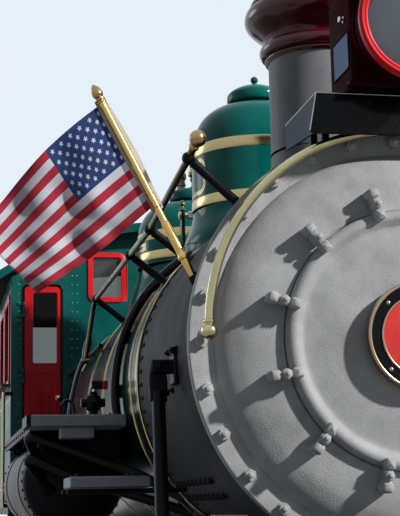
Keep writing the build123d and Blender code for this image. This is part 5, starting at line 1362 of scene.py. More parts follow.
def make_tread_trim():
    """Raised tread on each running board, and the board's edge strip, rivets, bearers and gussets."""
    piece = Piece("raised_tread_trim", finish="black_iron")
    for side in (-1, 1):
        piece.block((ring_x - 1.7, side * 0.716, board_top - 0.048),
            (ring_x - 1.426, side * 1.118, board_top + 0.002), 0.005, finish="tread_grey")
        piece.block((ring_x - 1.56, side * 0.85, board_top - 0.094),
            (ring_x - 1.45, side * 0.99, board_top - 0.048), finish="tread_grey")
        for y in (0.78, 0.93, 1.08):
            for x in (1.48, 1.65):
                piece.nut(at((ring_x - x, side * y, board_top + 0.002)), 0.008, 0.005)
        edge_y = side * 1.1
        piece.block((ring_x - 3.7, edge_y - side * 0.01, board_top - 0.052),
            (ring_x - 1.7, edge_y + side * 0.002, board_top + 0.001), 0.003)
        for step in range(14):
            piece.rivet(beside(side, ring_x - 3.62 + 0.145 * step, 1.102, board_top - 0.032), 0.008)
        for back in (1.78, 2.28, 2.78, 3.25, 3.62):
            x = ring_x - back
            piece.block((x - 0.01, side * 0.7, board_top - 0.05), (x + 0.01, side * 1.085, board_top - 0.02))
            wall = set_at((x - 0.006, 0, 0), forward)
            gusset = [(side * 0.704, board_top - 0.045), (side * 1.06, board_top - 0.045),
                (side * 1.06, board_top - 0.07), (side * 0.69, board_top - 0.2)]
            piece.slab(gusset, 0.0, 0.012, wall, 0.002)
    piece.done(slot="black_iron")


air_routes = (((1.925, 1.03, 1.7), (1.8, 1.119, 1.842), (1.5, 0.68, 1.66), (1.34, 0.49, 1.54)),
    ((1.915, 1.0, 1.59), (1.85, 1.12, 1.75), (1.7, 0.897, 1.64), (1.48, 0.43, 1.48)))


def make_air_tanks():
    """Riveted air reservoirs with dished ends, straps and their pipes."""
    piece = Piece("air_reservoirs", finish="black_iron")
    tank_radius = 0.2295
    for side in (-1, 1):
        line = set_at((0, side * tank_y, tank_z), forward)
        rear, front = ring_x - 3.66, ring_x - 1.9
        outline = eased([(0, rear), (0.09, rear + 0.006), (0.17, rear + 0.024), (0.215, rear + 0.05),
            (0.229, rear + 0.074)], 5)
        outline += [(tank_radius, rear + 0.078), (tank_radius, front - 0.07)]
        outline += eased([(0.229, front - 0.066), (0.214, front - 0.04), (0.165, front - 0.018),
            (0.085, front - 0.005), (0, front)], 5)
        piece.turned(outline, line, 72)
        for x in (rear + 0.09, front - 0.09):
            for index in range(36):
                direction = outward(10 * index)
                place = Vector((x, side * tank_y, tank_z)) + tank_radius * direction
                piece.rivet(set_at(place, direction), 0.009)
        for x in (ring_x - 2.3, ring_x - 3.25):
            piece.turned([(0.228, x - 0.026), (0.2335, x - 0.025), (0.2335, x + 0.025), (0.228, x + 0.026)],
                line, 72)
            for offset in (-0.06, 0.06):
                piece.rod((x, side * tank_y + offset, tank_z + 0.19),
                    (x, side * tank_y + offset, board_top - 0.012), 0.012)
                piece.nut(at((x, side * tank_y + offset, board_top)), 0.012)
        for route in air_routes:
            points = [Vector((ring_x - back, side * y, z)) for back, y, z in route]
            softened = [points[0]]
            for before, corner, after in zip(points, points[1:], points[2:]):
                near = corner + (before - corner).normalized() * min(0.07, (before - corner).length * 0.4)
                far = corner + (after - corner).normalized() * min(0.07, (after - corner).length * 0.4)
                for step in range(7):
                    share = step / 6
                    softened.append(near.lerp(corner, share).lerp(corner.lerp(far, share), share))
            softened.append(points[-1])
            piece.pipe(softened, 0.0215, 18)
            start = points[0]
            toward = (points[1] - start).normalized()
            piece.turned([(0.034, -0.012), (0.034, 0.018), (0.0225, 0.02)], set_at(start, toward), 6)
    piece.done("air_tanks", slot="black_iron")


def line_beside(side, places, steps):
    """A smooth line on one side, through places back from the ring, out, and up from the boiler's line."""
    return eased([Vector((ring_x - back, side * out, boiler_z + up)) for back, out, up in places], steps)


def make_boiler_pipes():
    """On each side a pipe round the jacket, a bent blue pipe, a wire, and a feed pipe on its clips."""
    piece = Piece("boiler_side_pipes", finish="black_iron")
    for side in (-1, 1):
        route = []
        for step in range(25):
            route.append(around(-side * (30 + 69 * step / 24), 0.722, ring_x - 1.745))
        route = [Vector((point.x, side * abs(point.y), point.z)) for point in route]
        bottom = route[-1]
        route += [bottom + Vector((0, side * 0.004, -0.02)), bottom + Vector((0, side * 0.006, -0.045))]
        piece.pipe(route, 0.02, 18, finish="gloss_black")
        for index in (6, 14, 21):
            place = route[index]
            away = Vector((0, place.y, place.z - boiler_z)).normalized()
            piece.block((-0.03, -0.012, -0.026), (0.03, 0.012, -0.02), 0.002, set_at(place, away, forward),
                finish="gloss_black")
        lower = [(2.8, 0.74, 0.252), (2.84, 0.728, 0.33), (2.9, 0.7, 0.38), (2.96, 0.705, 0.33),
            (3.0, 0.752, 0.2), (3.02, 0.785, 0.06), (3.02, 0.8, -0.06), (3.02, 0.803, -0.126)]
        piece.pipe(line_beside(side, lower, 6), 0.0135, 16, finish="pipe_blue")
        for back, y, z in (lower[0], lower[-2]):
            piece.ball((ring_x - back, side * y, boiler_z + z), 0.021, 18)
        wire = [(0.862, 0.648, 0.56), (1.25, 0.56, 0.64), (1.7, 0.47, 0.69), (2.1, 0.37, 0.745),
            (2.54, 0.24, 0.8)]
        piece.pipe(line_beside(side, wire, 6), 0.0045, 10, finish="steel")
        feed_line = [(4.4, 0.655, 0.33), (3.9, 0.655, 0.33), (3.5, 0.655, 0.335), (3.15, 0.655, 0.33),
            (2.98, 0.63, 0.35)]
        piece.pipe(line_beside(side, feed_line, 5), 0.013, 14)
        for back in (3.2, 3.6, 4.0):
            piece.block((ring_x - back - 0.016, side * 0.628, boiler_z + 0.318),
                (ring_x - back + 0.016, side * 0.668, boiler_z + 0.326))
    piece.done(slot="black_iron")


def make_step_valve():
    """Small valve with a bent hook and a black and red head, on each running board."""
    piece = Piece("side_valves", finish="black_iron")
    for side in (-1, 1):
        x = ring_x - 1.92
        base = board_top + 0.001
        y = side * 0.8
        body_z = base + 0.088
        piece.block((x - 0.045, y - 0.045, base), (x + 0.045, y + 0.045, base + 0.012), 0.003)
        piece.turned([(0.03, 0.01), (0.022, 0.022), (0.02, 0.05), (0.034, 0.058), (0.038, 0.09),
            (0.034, 0.118), (0.02, 0.126), (0.016, 0.138), (0, 0.14)], at((x, y, base)), 28)
        piece.rod((x - 0.005, y - 0.055, body_z), (x - 0.005, y + 0.055, body_z), 0.021)
        piece.rod((x + 0.02, y, body_z), (x + 0.062, y, body_z), 0.018, finish="gloss_black")
        piece.nut(set_at((x + 0.062, y, body_z), forward), 0.015, finish="gloss_black")
        bends = ((0.085, 0.004), (0.088, 0.055), (0.1, 0.092), (0.125, 0.098), (0.143, 0.076))
        hook = [Vector((x, y + side * out, base + up)) for out, up in bends]
        piece.pipe(eased(hook, 5), 0.008, 14, finish="cast_iron")
        piece.block((x - 0.035, y - side * 0.02 - 0.03, base + 0.15),
            (x + 0.035, y - side * 0.02 + 0.03, base + 0.188), 0.005, finish="gloss_black")
        piece.rod((x, y, base + 0.13), (x, y - side * 0.01, base + 0.155), 0.008, finish="steel")
        piece.block((x + 0.025, y - side * 0.052 - 0.012, base + 0.146),
            (x + 0.04, y - side * 0.052 + 0.012, base + 0.186), 0.003, finish="red_paint")
    piece.done(slot="black_iron")


def make_braces():
    """Flattened round braces from the deck to the smokebox, bolted through lugs."""
    piece = Piece("front_braces", finish="black_iron")
    pin_y, pin_z = 0.752, boiler_z - 0.036
    for side in (-1, 1):
        low = Vector((ring_x - 0.042, side * 0.8, deck_top + 0.045))
        high = Vector((ring_x - 0.415, side * pin_y, boiler_z - 0.04))
        run = high - low
        place = set_at(low, run, forward)
        length = run.length
        piece.turned([(0.0235, 0.02), (0.0235, length * 0.5), (0.0235, length - 0.1)], place, 28)
        for start, end in ((-0.01, 0.1), (length - 0.13, length + 0.02)):
            middle = (start + end) / 2
            outline = [(-0.03, start), (0.03, start), (0.033, middle), (0.024, end), (-0.024, end),
                (-0.033, middle)]
            turn = place @ Matrix.Rotation(math.radians(90), 4, "X")
            piece.slab(outline, -0.01, 0.01, turn, 0.005)
        piece.block((ring_x - 0.085, side * 0.755, deck_top),
            (ring_x + 0.002, side * 0.845, deck_top + 0.026), 0.005)
        for x in (ring_x - 0.068, ring_x - 0.016):
            for y in (0.772, 0.828):
                piece.nut(at((x, side * y, deck_top + 0.026)), 0.01)
        seat = Vector((ring_x - 0.415, side * 0.69, boiler_z - 0.035))
        piece.block((ring_x - 0.46, side * 0.683, boiler_z - 0.1),
            (ring_x - 0.37, side * 0.702, boiler_z + 0.035), 0.008)
        for x in (-0.045, 0.045):
            for z in (-0.085, 0.055):
                piece.nut(set_at(seat + Vector((x, side * 0.014, z - 0.002)), (0, side, 0)), 0.011)
        for rear, front in ((0.44, 0.428), (0.402, 0.39)):
            piece.block((ring_x - rear, side * 0.7, boiler_z - 0.06),
                (ring_x - front, side * 0.775, boiler_z - 0.012), 0.004)
        piece.rod((ring_x - 0.45, side * pin_y, pin_z), (ring_x - 0.38, side * pin_y, pin_z), 0.012,
            finish="steel")
        piece.nut(set_at((ring_x - 0.39, side * pin_y, pin_z), forward), 0.014)
    piece.done("smokebox_braces", slot="black_iron")


def make_air_pump():
    """Steam driven air pump: a ribbed cylinder below, a banded one above and a waist between them."""
    piece = Piece("air_compressor", finish="black_iron")
    x, y = ring_x - 3.92, 0.9
    place = at((x, y, 0))
    lower = [(0, 1.5), (0.11, 1.502), (0.128, 1.51), (0.128, 1.53), (0.148, 1.534), (0.148, 1.55),
        (0.132, 1.556)]
    for step in range(9):
        z = 1.575 + 0.033 * step
        lower += [(0.132, z), (0.148, z + 0.004), (0.148, z + 0.01), (0.132, z + 0.014)]
    lower += [(0.132, 1.858), (0.149, 1.862), (0.149, 1.88), (0.1, 1.886), (0.062, 1.9), (0.055, 1.93),
        (0.055, 2.01), (0.062, 2.04)]
    piece.turned(lower, place, 56)
    upper = [(0.062, 2.04), (0.11, 2.052), (0.13, 2.06), (0.13, 2.078), (0.12, 2.084), (0.12, 2.33),
        (0.13, 2.338), (0.13, 2.358)]
    upper += [(0.118, 2.368), (0.09, 2.378), (0.06, 2.388), (0.058, 2.42), (0.04, 2.428), (0, 2.43)]
    piece.turned(upper, place, 56, finish="gloss_black")
    for height in (2.12, 2.29):
        piece.turned([(0.1195, height - 0.012), (0.1225, height - 0.01), (0.1225, height + 0.01),
            (0.1195, height + 0.012)], place, 56, finish="brass")
    for index in range(12):
        turn = math.radians(30 * index + 15)
        for radius, z in ((0.118, 2.358), (0.118, 2.06)):
            spot = (x + radius * math.cos(turn), y + radius * math.sin(turn), z)
            direction = (0, 0, 1) if z > 2.2 else (0, 0, -1)
            piece.nut(set_at(spot, direction), 0.008, 0.008)
    for low in (1.7, 2.1):
        piece.block((x - 0.058, 0.68, low), (x + 0.058, y - 0.09, low + 0.04), 0.006)
    pipe = eased([Vector((x, y - 0.05, 2.41)), Vector((x, y - 0.05, 2.47)),
        Vector((x - 0.02, y - 0.13, 2.52)), Vector((x - 0.05, 0.6, 2.5)), Vector((x - 0.05, 0.5, 2.48))], 6)
    piece.pipe(pipe, 0.019, 16, finish="copper")
    piece.done("air_pump", slot="black_iron")


# The cab

cab_wall = 0.03
cab_half = 1.025
cab_rear_x = cab_front_x - 1.53
floor_top = 1.53
eave_z = 3.045
crown_z = 3.33
door_low = 1.712
door_high = boiler_z + 0.915
door_inner, door_outer = 0.706, 0.95
glass_low, glass_high = boiler_z + 0.412, boiler_z + 0.868
front_window = (0.275, 0.51, boiler_z + 0.822, boiler_z + 1.112)
window_low, window_high = 2.33, 2.88
side_windows = ((cab_front_x - 0.64, cab_front_x - 0.16), (cab_front_x - 1.24, cab_front_x - 0.76))


def roof_height(y):
    rise = crown_z - eave_z
    radius = (cab_half**2 + rise**2) / (2 * rise)
    return crown_z - radius + math.sqrt(radius**2 - y**2)


def make_cab_trim():
    """Rivets, window surrounds, gold lines, corner strips, sills and grab rails on the cab's walls."""
    # The rivets' finish paints highlights on their heads: lighter teal, with pale worn edges.
    piece = Piece("cab_rivets_and_frames", finish="rivet_painted_highlight")
    grab_x, grab_y, grab_low, grab_high = cab_rear_x - 0.045, 0.96, 1.7, 3.0
    front = set_at((cab_front_x, 0, 0), forward)
    for side in (-1, 1):
        left, right = sorted((side * front_window[0], side * front_window[1]))
        surround(piece, left + 0.011, right - 0.04, front_window[2] + 0.022, front_window[3] - 0.006, 0.034,
            0.014, 0.01, "red_paint", front)
        surround(piece, left - 0.002, right + 0.002, front_window[2] - 0.002, front_window[3] + 0.002, 0.0,
            0.006, 0.001, "red_paint", front)
        left, right = sorted((side * door_inner, side * door_outer))
        surround(piece, left, right, door_low, door_high, 0.01, 0.03, 0.006, "gloss_black", front, 0.002)
        stop = set_at((cab_front_x - 0.046, 0, 0), forward)
        surround(piece, left + 0.014, right - 0.014, door_low + 0.014, door_high - 0.014, 0.034, 0.016,
            0.0145, "gloss_black", stop, 0.001)
        for y in (0.979, 0.604, 0.637):
            for z in spread(door_low + 0.05, eave_z + 0.03 - door_low, 24):
                over_boiler = y > 0.9 or z >= boiler_z + math.sqrt(max(0.0, 0.73**2 - y**2))
                if over_boiler and z < roof_height(y) - 0.04:
                    piece.rivet(set_at((cab_front_x, side * y, z), forward), 0.0065)
        for index in range(9):
            z = door_low + 0.1 + 0.16 * index
            piece.rivet(set_at((cab_front_x, side * 1.003, z), forward), 0.0065)
        piece.block((cab_front_x - 0.045, side * (cab_half - 0.006), floor_top),
            (cab_front_x + 0.004, side * (cab_half + 0.005), eave_z), 0.003, finish="cab_green")
        piece.block((cab_front_x - 0.005, side * (cab_half - 0.045), floor_top),
            (cab_front_x + 0.005, side * (cab_half + 0.004), eave_z), 0.003, finish="cab_green")
        wall = beside(side, 0, cab_half, 0)
        for x0, x1 in side_windows:
            left, right = sorted((-side * x0, -side * x1))
            surround(piece, left + 0.018, right - 0.018, window_low + 0.018, window_high - 0.018, 0.05, 0.03,
                0.012, "red_paint", wall)
        left, right = sorted((-side * (cab_front_x - 0.1), -side * (cab_rear_x + 0.1)))
        surround(piece, left, right, 1.66, 2.22, 0.009, 0.05, 0.0016, "gold_line", wall, 0.0006)
        surround(piece, left + 0.03, right - 0.03, 1.69, 2.19, 0.003, 0.03, 0.0016, "gold_line", wall,
            0.0006)
        for x in spread(cab_rear_x + 0.03, 1.47, 28):
            for z in (1.585, 2.265, 3.0):
                piece.rivet(beside(side, x, cab_half, z), 0.0062)
        for z in spread(1.62, 1.36, 20):
            for x in (cab_rear_x + 0.03, cab_front_x - 0.06):
                piece.rivet(beside(side, x, cab_half, z), 0.0062)
        piece.block((cab_front_x - 1.26, side * (cab_half - 0.002), 2.3),
            (cab_front_x - 0.14, side * (cab_half + 0.055), 2.318), 0.006, finish="floor_wood")
        for z in (2.95, 1.75):
            piece.rod((cab_rear_x - 0.002, side * grab_y, z), (grab_x, side * grab_y, z), 0.011,
                finish="brass")
        piece.rod((grab_x, side * grab_y, grab_low), (grab_x, side * grab_y, grab_high), 0.014,
            finish="brass")
        for z in (grab_low, grab_high):
            piece.ball((grab_x, side * grab_y, z), 0.02, 20, finish="brass")
        rail = ((1.072, 0.22), (1.076, 0.18), (1.076, -0.1), (1.076, -0.46), (1.072, -0.49))
        piece.pipe(eased([Vector((cab_front_x + 0.02, side * y, boiler_z + z)) for y, z in rail], 5), 0.011,
            16, finish="brass")
        for z in (boiler_z + 0.215, boiler_z - 0.485):
            piece.block((cab_front_x - 0.004, side * 1.015, z - 0.012),
                (cab_front_x + 0.03, side * 1.074, z + 0.012), 0.004, finish="black_iron")
    for y in spread(-1.0, 2.0, 40):
        if abs(abs(y) - 0.392) > 0.17 and abs(y) < 0.99:
            piece.rivet(set_at((cab_front_x, y, roof_height(y) - 0.035), forward), 0.0065)
    for angle in spread(-76, 152, 41):
        spot = around(angle, 0.735, cab_front_x)
        if abs(spot.y) < 0.69:
            piece.rivet(set_at(spot, forward), 0.0075)
    collar = [(0.7, cab_front_x - 0.004), (0.76, cab_front_x - 0.003), (0.76, cab_front_x + 0.005),
        (0.704, cab_front_x + 0.007), (0.699, cab_front_x + 0.024)]
    points, steps, limit = [], 80, 0.703
    for radius, x in collar:
        for step in range(steps + 1):
            place = around(-98 + 196 * step / steps, radius, x)
            place.y = max(-limit, min(limit, place.y))
            points.append(tuple(place))
    low_corners = [row * (steps + 1) + step for row in range(len(collar) - 1) for step in range(steps)]
    faces = [[corner, corner + 1, corner + steps + 2, corner + steps + 1] for corner in low_corners]
    piece.add(points, faces, "cab_green")
    piece.done(slot="dome_green")


def make_cab_doors():
    """Red doors with a glazed upper half, a dark blind and a sunk lower panel, on dark hinge pins."""
    for name, side in sides:
        piece = Piece(f"front_door_{name}", f"cab_door_{name}", finish="blind_black")
        face = set_at((cab_front_x - 0.028, 0, 0), forward)
        left, right = sorted((side * (door_inner + 0.005), side * (door_outer - 0.005)))
        low, high = door_low + 0.005, door_high - 0.005
        pane_left, pane_right = sorted((side * 0.735, side * 0.889))
        rows = ((left, right, low, high, 0.026, 0.0), (left, right, low, high, 0.026, 0.025),
            (left + 0.003, right - 0.003, low + 0.003, high - 0.003, 0.024, 0.028),
            (pane_left - 0.004, pane_right + 0.004, glass_low - 0.004, glass_high + 0.004, 0.016, 0.028),
            (pane_left, pane_right, glass_low, glass_high, 0.014, 0.024),
            (pane_left, pane_right, glass_low, glass_high, 0.014, 0.004),
            (pane_left, pane_right, glass_low, glass_high, 0.014, 0.0))
        points = []
        for row_left, row_right, row_low, row_high, radius, height in rows:
            points += [(y, z, height) for y, z in rounded(row_left, row_right, row_low, row_high, radius, 6)]
        piece.add(points, joined_rows(len(rows), len(points) // len(rows), True), "door_red", face)
        panel_left, panel_right = sorted((side * 0.742, side * 0.915))
        surround(piece, panel_left + 0.006, panel_right - 0.006, door_low + 0.075, boiler_z + 0.345, 0.008,
            0.004, 0.0045, "door_red", set_at((cab_front_x - 0.001, 0, 0), forward), 0.002)
        for share in (0.25, 0.5, 0.75):
            y = panel_left + (panel_right - panel_left) * share
            piece.block((cab_front_x - 0.002, y - 0.0018, door_low + 0.085),
                (cab_front_x + 0.0012, y + 0.0018, boiler_z + 0.335), 0.0005, finish="dark_red_paint")
        blind_low = boiler_z + 0.646
        piece.block((cab_front_x - 0.0105, pane_left + 0.001, blind_low),
            (cab_front_x - 0.0065, pane_right - 0.001, glass_high - 0.001), 0.001)
        piece.rod((cab_front_x - 0.009, pane_left + 0.002, blind_low),
            (cab_front_x - 0.009, pane_right - 0.002, blind_low), 0.0035, 12)
        handle_z = door_low + 0.5
        handle = set_at((cab_front_x - 0.002, side * 0.728, handle_z), forward)
        piece.turned([(0.02, 0), (0.02, 0.004), (0.008, 0.008), (0.008, 0.034)]
            + arc(0.017, -50, 88, 8, (0, 0.048)), handle, 24, finish="brass")
        for z in (door_low + 0.16, door_low + 0.64, door_high - 0.16):
            piece.rod((cab_front_x + 0.01, side * door_outer, z - 0.03),
                (cab_front_x + 0.01, side * door_outer, z + 0.03), 0.008, finish="gloss_black")
            piece.block((cab_front_x - 0.001, side * (door_outer - 0.034), z - 0.026),
                (cab_front_x + 0.004, side * door_outer, z + 0.026), 0.001, finish="door_red")
        piece.done(f"cab_door_{name}", slot="red_paint")
        pane = Piece(f"door_glass_{name}", f"cab_door_{name}", finish="glass")
        pane.slab(rounded(pane_left - 0.004, pane_right + 0.004, glass_low - 0.004, glass_high + 0.004,
            0.012), 0.0115, 0.0165, face, 0.001)
        pane.done(f"cab_door_pane_{name}", slot="glass")


def make_cab_glass():
    piece = Piece("cab_window_glass", finish="glass")
    front = set_at((cab_front_x - cab_wall / 2, 0, 0), forward)
    for side in (-1, 1):
        left, right = sorted((side * front_window[0], side * front_window[1]))
        piece.slab(rounded(left, right, front_window[2], front_window[3], 0.004), -0.0025, 0.0025, front,
            0.0005)
        wall = beside(side, 0, cab_half - cab_wall / 2, 0)
        left, right = sorted((-side * side_windows[0][0], -side * side_windows[0][1]))
        piece.slab(rounded(left, right, window_low, window_high, 0.004), -0.0025, 0.0025, wall, 0.0005)
    piece.done("cab_panes", slot="glass")


def roof_strip(piece, section, lift, half, finish=None):
    """A strip across the arched roof, from its (x, height) corners over a line lifted from the arch."""
    count = 48
    points = []
    for step in range(count + 1):
        y = -half + 2 * half * step / count
        top = roof_height(y) + lift
        points += [(x, y, top + height) for x, height in section]
    ends = [[0, 1, 2, 3], [4 * count + 3, 4 * count + 2, 4 * count + 1, 4 * count]]
    piece.add(points, ends + [[a, d, c, b] for a, b, c, d in joined_rows(count + 1, 4, False)], finish)


def make_roof_trim():
    """Riveted roof ribs, green end edges, rods along the sides and a hatch lid."""
    piece = Piece("roof_ribs_and_edges", finish="roof_black")
    half = 1.108
    front, rear = cab_front_x + 0.11, cab_rear_x - 0.11
    for x in (rear + 0.06, rear + 0.62, front - 0.62, front - 0.06):
        rib = ((x - 0.02, -0.001), (x - 0.02, 0.005), (x + 0.02, 0.005), (x + 0.02, -0.001))
        roof_strip(piece, rib, 0.025, half)
        for y in spread(-1.06, 2.12, 34):
            piece.rivet(set_at((x, y, roof_height(y) + 0.03), (0, y * 0.52, 1)), 0.007)
    for x, toward in ((front, 1), (rear, -1)):
        edge = ((x - toward * 0.004, 0.029), (x + toward * 0.008, 0.027), (x + toward * 0.01, -0.03),
            (x - toward * 0.004, -0.03))
        roof_strip(piece, edge, 0.0, half, "cab_green")
    for side in (-1, 1):
        z = roof_height(half)
        piece.rod((rear, side * half, z + 0.01), (front, side * half, z + 0.01), 0.014, 16)
        piece.rod((rear + 0.03, side * 0.7, roof_height(0.7) + 0.034),
            (front - 0.03, side * 0.7, roof_height(0.7) + 0.034), 0.008, 12)
    hatch_x0, hatch_x1 = cab_rear_x + 0.5, cab_rear_x + 0.95
    piece.block((hatch_x0 - 0.02, -0.28, crown_z + 0.06), (hatch_x1 + 0.02, 0.28, crown_z + 0.082), 0.008)
    for y in (-0.2, 0.2):
        piece.rod((hatch_x0 - 0.01, y - 0.03, crown_z + 0.086), (hatch_x0 - 0.01, y + 0.03, crown_z + 0.086),
            0.01, finish="brass")
    piece.done(slot="roof_black")


# Wheels and running gear

wheel_back = 0.43
tyre_width = 0.13
crank_radius = 0.2794
crank_angles = {-1: 225.0, 1: 315.0}


def crank_place(side, x):
    angle = math.radians(crank_angles[side])
    return x + crank_radius * math.cos(angle), axle_z + crank_radius * math.sin(angle)


def add_wheel(piece, side, x, z, tread_radius, rim_depth, hub_radius, spokes, spoke_half, turn):
    """A spoked wheel: tyre with its flange, rim, tapered spokes and a hub."""
    line = beside(side, x, 0, z)
    back, face = wheel_back, wheel_back + tyre_width
    rim = tread_radius - 0.062
    tyre = [(rim, back + 0.012), (rim + 0.004, back + 0.002), (tread_radius + 0.01, back),
        (tread_radius + 0.02, back + 0.004)]
    tyre += [(tread_radius + 0.0245, back + 0.011), (tread_radius + 0.0245, back + 0.016),
        (tread_radius + 0.018, back + 0.024), (tread_radius + 0.004, back + 0.031),
        (tread_radius - 0.0002, back + 0.038), (tread_radius - 0.0035, face - 0.006),
        (tread_radius - 0.009, face), (rim + 0.004, face), (rim, face - 0.006)]
    piece.turned(tyre, line, 112, finish="tyre_steel")
    inner = rim - rim_depth
    piece.turned([(rim, face - 0.008), (rim - 0.004, face - 0.01), (inner + 0.006, face - 0.014),
        (inner, face - 0.022), (inner, back + 0.034), (inner + 0.006, back + 0.024), (rim, back + 0.016)],
        line, 112, finish="wheel_black")
    hub = [(0, face + 0.014), (hub_radius * 0.62, face + 0.014), (hub_radius * 0.66, face + 0.012),
        (hub_radius * 0.68, face + 0.003), (hub_radius * 0.92, face - 0.002), (hub_radius, face - 0.012),
        (hub_radius * 1.02, face - 0.03), (hub_radius * 1.02, back + 0.03), (hub_radius, back + 0.012),
        (hub_radius * 0.9, back + 0.004), (0, back + 0.004)]
    piece.turned(hub, line, 56, finish="wheel_black")
    piece.turned([(0.0, face + 0.0155), (hub_radius * 0.34, face + 0.0155),
        (hub_radius * 0.36, face + 0.014)], line, 32, finish="steel")
    rows = 9
    ring = 14
    for spoke in range(spokes):
        angle = math.radians(turn + 360 * spoke / spokes)
        points = []
        for row in range(rows + 1):
            share = row / rows
            reach = hub_radius * 0.9 + (inner + 0.01 - hub_radius * 0.9) * share
            flare = 1.0 + 0.55 * (1 - share)**4 + 0.35 * share**6
            half_width = spoke_half * (1.12 - 0.22 * share) * flare
            half_depth = (0.046 - 0.01 * share) * (1.0 + 0.12 * share**6)
            for step in range(ring):
                around_spoke = 2 * math.pi * step / ring
                c, s = math.cos(around_spoke), math.sin(around_spoke)
                wide = math.copysign(abs(c)**0.75, c) * half_width
                deep = math.copysign(abs(s)**0.75, s) * half_depth
                across = Vector((math.cos(angle), math.sin(angle), 0)) * reach
                across += Vector((-math.sin(angle), math.cos(angle), 0)) * wide
                points.append(Vector((across.x, across.y, wheel_back + 0.064 + deep)))
        piece.add(points, joined_rows(rows + 1, ring, False), "wheel_black", line)


def local_angle(side, x, z, pin_x, pin_z):
    """The crank's angle in a wheel's own plane, as the wheel's matrix lays it out."""
    line = beside(side, x, 0, z)
    local = line.inverted() @ Vector((pin_x, 0, pin_z))
    return math.degrees(math.atan2(local.y, local.x))


def make_driving_axles():
    for label, x in (("front", main_axle_x + driver_spacing), ("main", main_axle_x),
            ("rear", main_axle_x - driver_spacing)):
        piece = Piece(f"driving_wheels_{label}", f"driving_{label}", finish="steel")
        piece.rod((x, -wheel_back - 0.06, axle_z), (x, wheel_back + 0.06, axle_z), 0.085, 40)
        for side in (-1, 1):
            pin_x, pin_z = crank_place(side, x)
            line = beside(side, x, 0, axle_z)
            turn = local_angle(side, x, axle_z, pin_x, pin_z)
            add_wheel(piece, side, x, axle_z, driver_radius, 0.052, 0.125, 13, 0.022, turn)
            face = wheel_back + tyre_width
            web_near, web_far = 0.335, driver_radius - 0.066
            outline = []
            for step in range(25):
                angle = math.radians(turn + 180 - 62 + 124 * step / 24)
                outline.append((web_far * math.cos(angle), web_far * math.sin(angle)))
            for step in range(17):
                angle = math.radians(turn + 180 + 62 - 124 * step / 16)
                share = abs(step - 8) / 8
                reach = web_near + (web_far - 0.34) * share**2.2
                outline.append((reach * math.cos(angle), reach * math.sin(angle)))
            piece.slab(outline, wheel_back + 0.03, face - 0.016, line, 0.006, finish="wheel_black")
            pin = beside(side, pin_x, 0, pin_z)
            piece.turned([(0.094, wheel_back + 0.02), (0.094, 0.59), (0.088, 0.599), (0.046, 0.6)], pin, 48,
                finish="wheel_black")
            web = [(0.1, -0.098), (crank_radius, -0.09), (crank_radius, 0.09), (0.1, 0.098), (0, 0.12),
                (-0.03, 0), (0, -0.12)]
            place = line @ Matrix.Rotation(math.radians(turn), 4, "Z")
            piece.slab(web, wheel_back + 0.034, face + 0.008, place, 0.008, finish="wheel_black")
            last = 0.727 if label == "main" else 0.697
            piece.turned([(0.045, 0.599), (0.045, last - 0.003), (0.042, last), (0, last)], pin, 40)
            piece.turned([(0.045, 0.677), (0.062, 0.677), (0.062, 0.694), (0.058, 0.697), (0.046, 0.697)],
                pin, 40)
            if label != "main":
                piece.nut(pin @ at((0, 0, 0.69)), 0.03, 0.006, stud=False)
        piece.done(f"driving_axle_{label}", slot="wheel_steel")


def make_truck_axles():
    for label, end in (("front", 1), ("rear", -1)):
        x = stack_x + end * 0.82
        piece = Piece(f"truck_wheels_{label}", f"truck_{label}", finish="steel")
        piece.rod((x, -wheel_back - 0.06, truck_axle_z), (x, wheel_back + 0.06, truck_axle_z), 0.062, 36)
        for side in (-1, 1):
            add_wheel(piece, side, x, truck_axle_z, 0.33, 0.03, 0.078, 10, 0.016, 0)
        piece.done(f"truck_axle_{label}", slot="wheel_steel")


main_rod_length = 2.345


def wrist_x(side):
    pin_x, pin_z = crank_place(side, main_axle_x)
    return pin_x + math.sqrt(main_rod_length**2 - (pin_z - axle_z)**2)


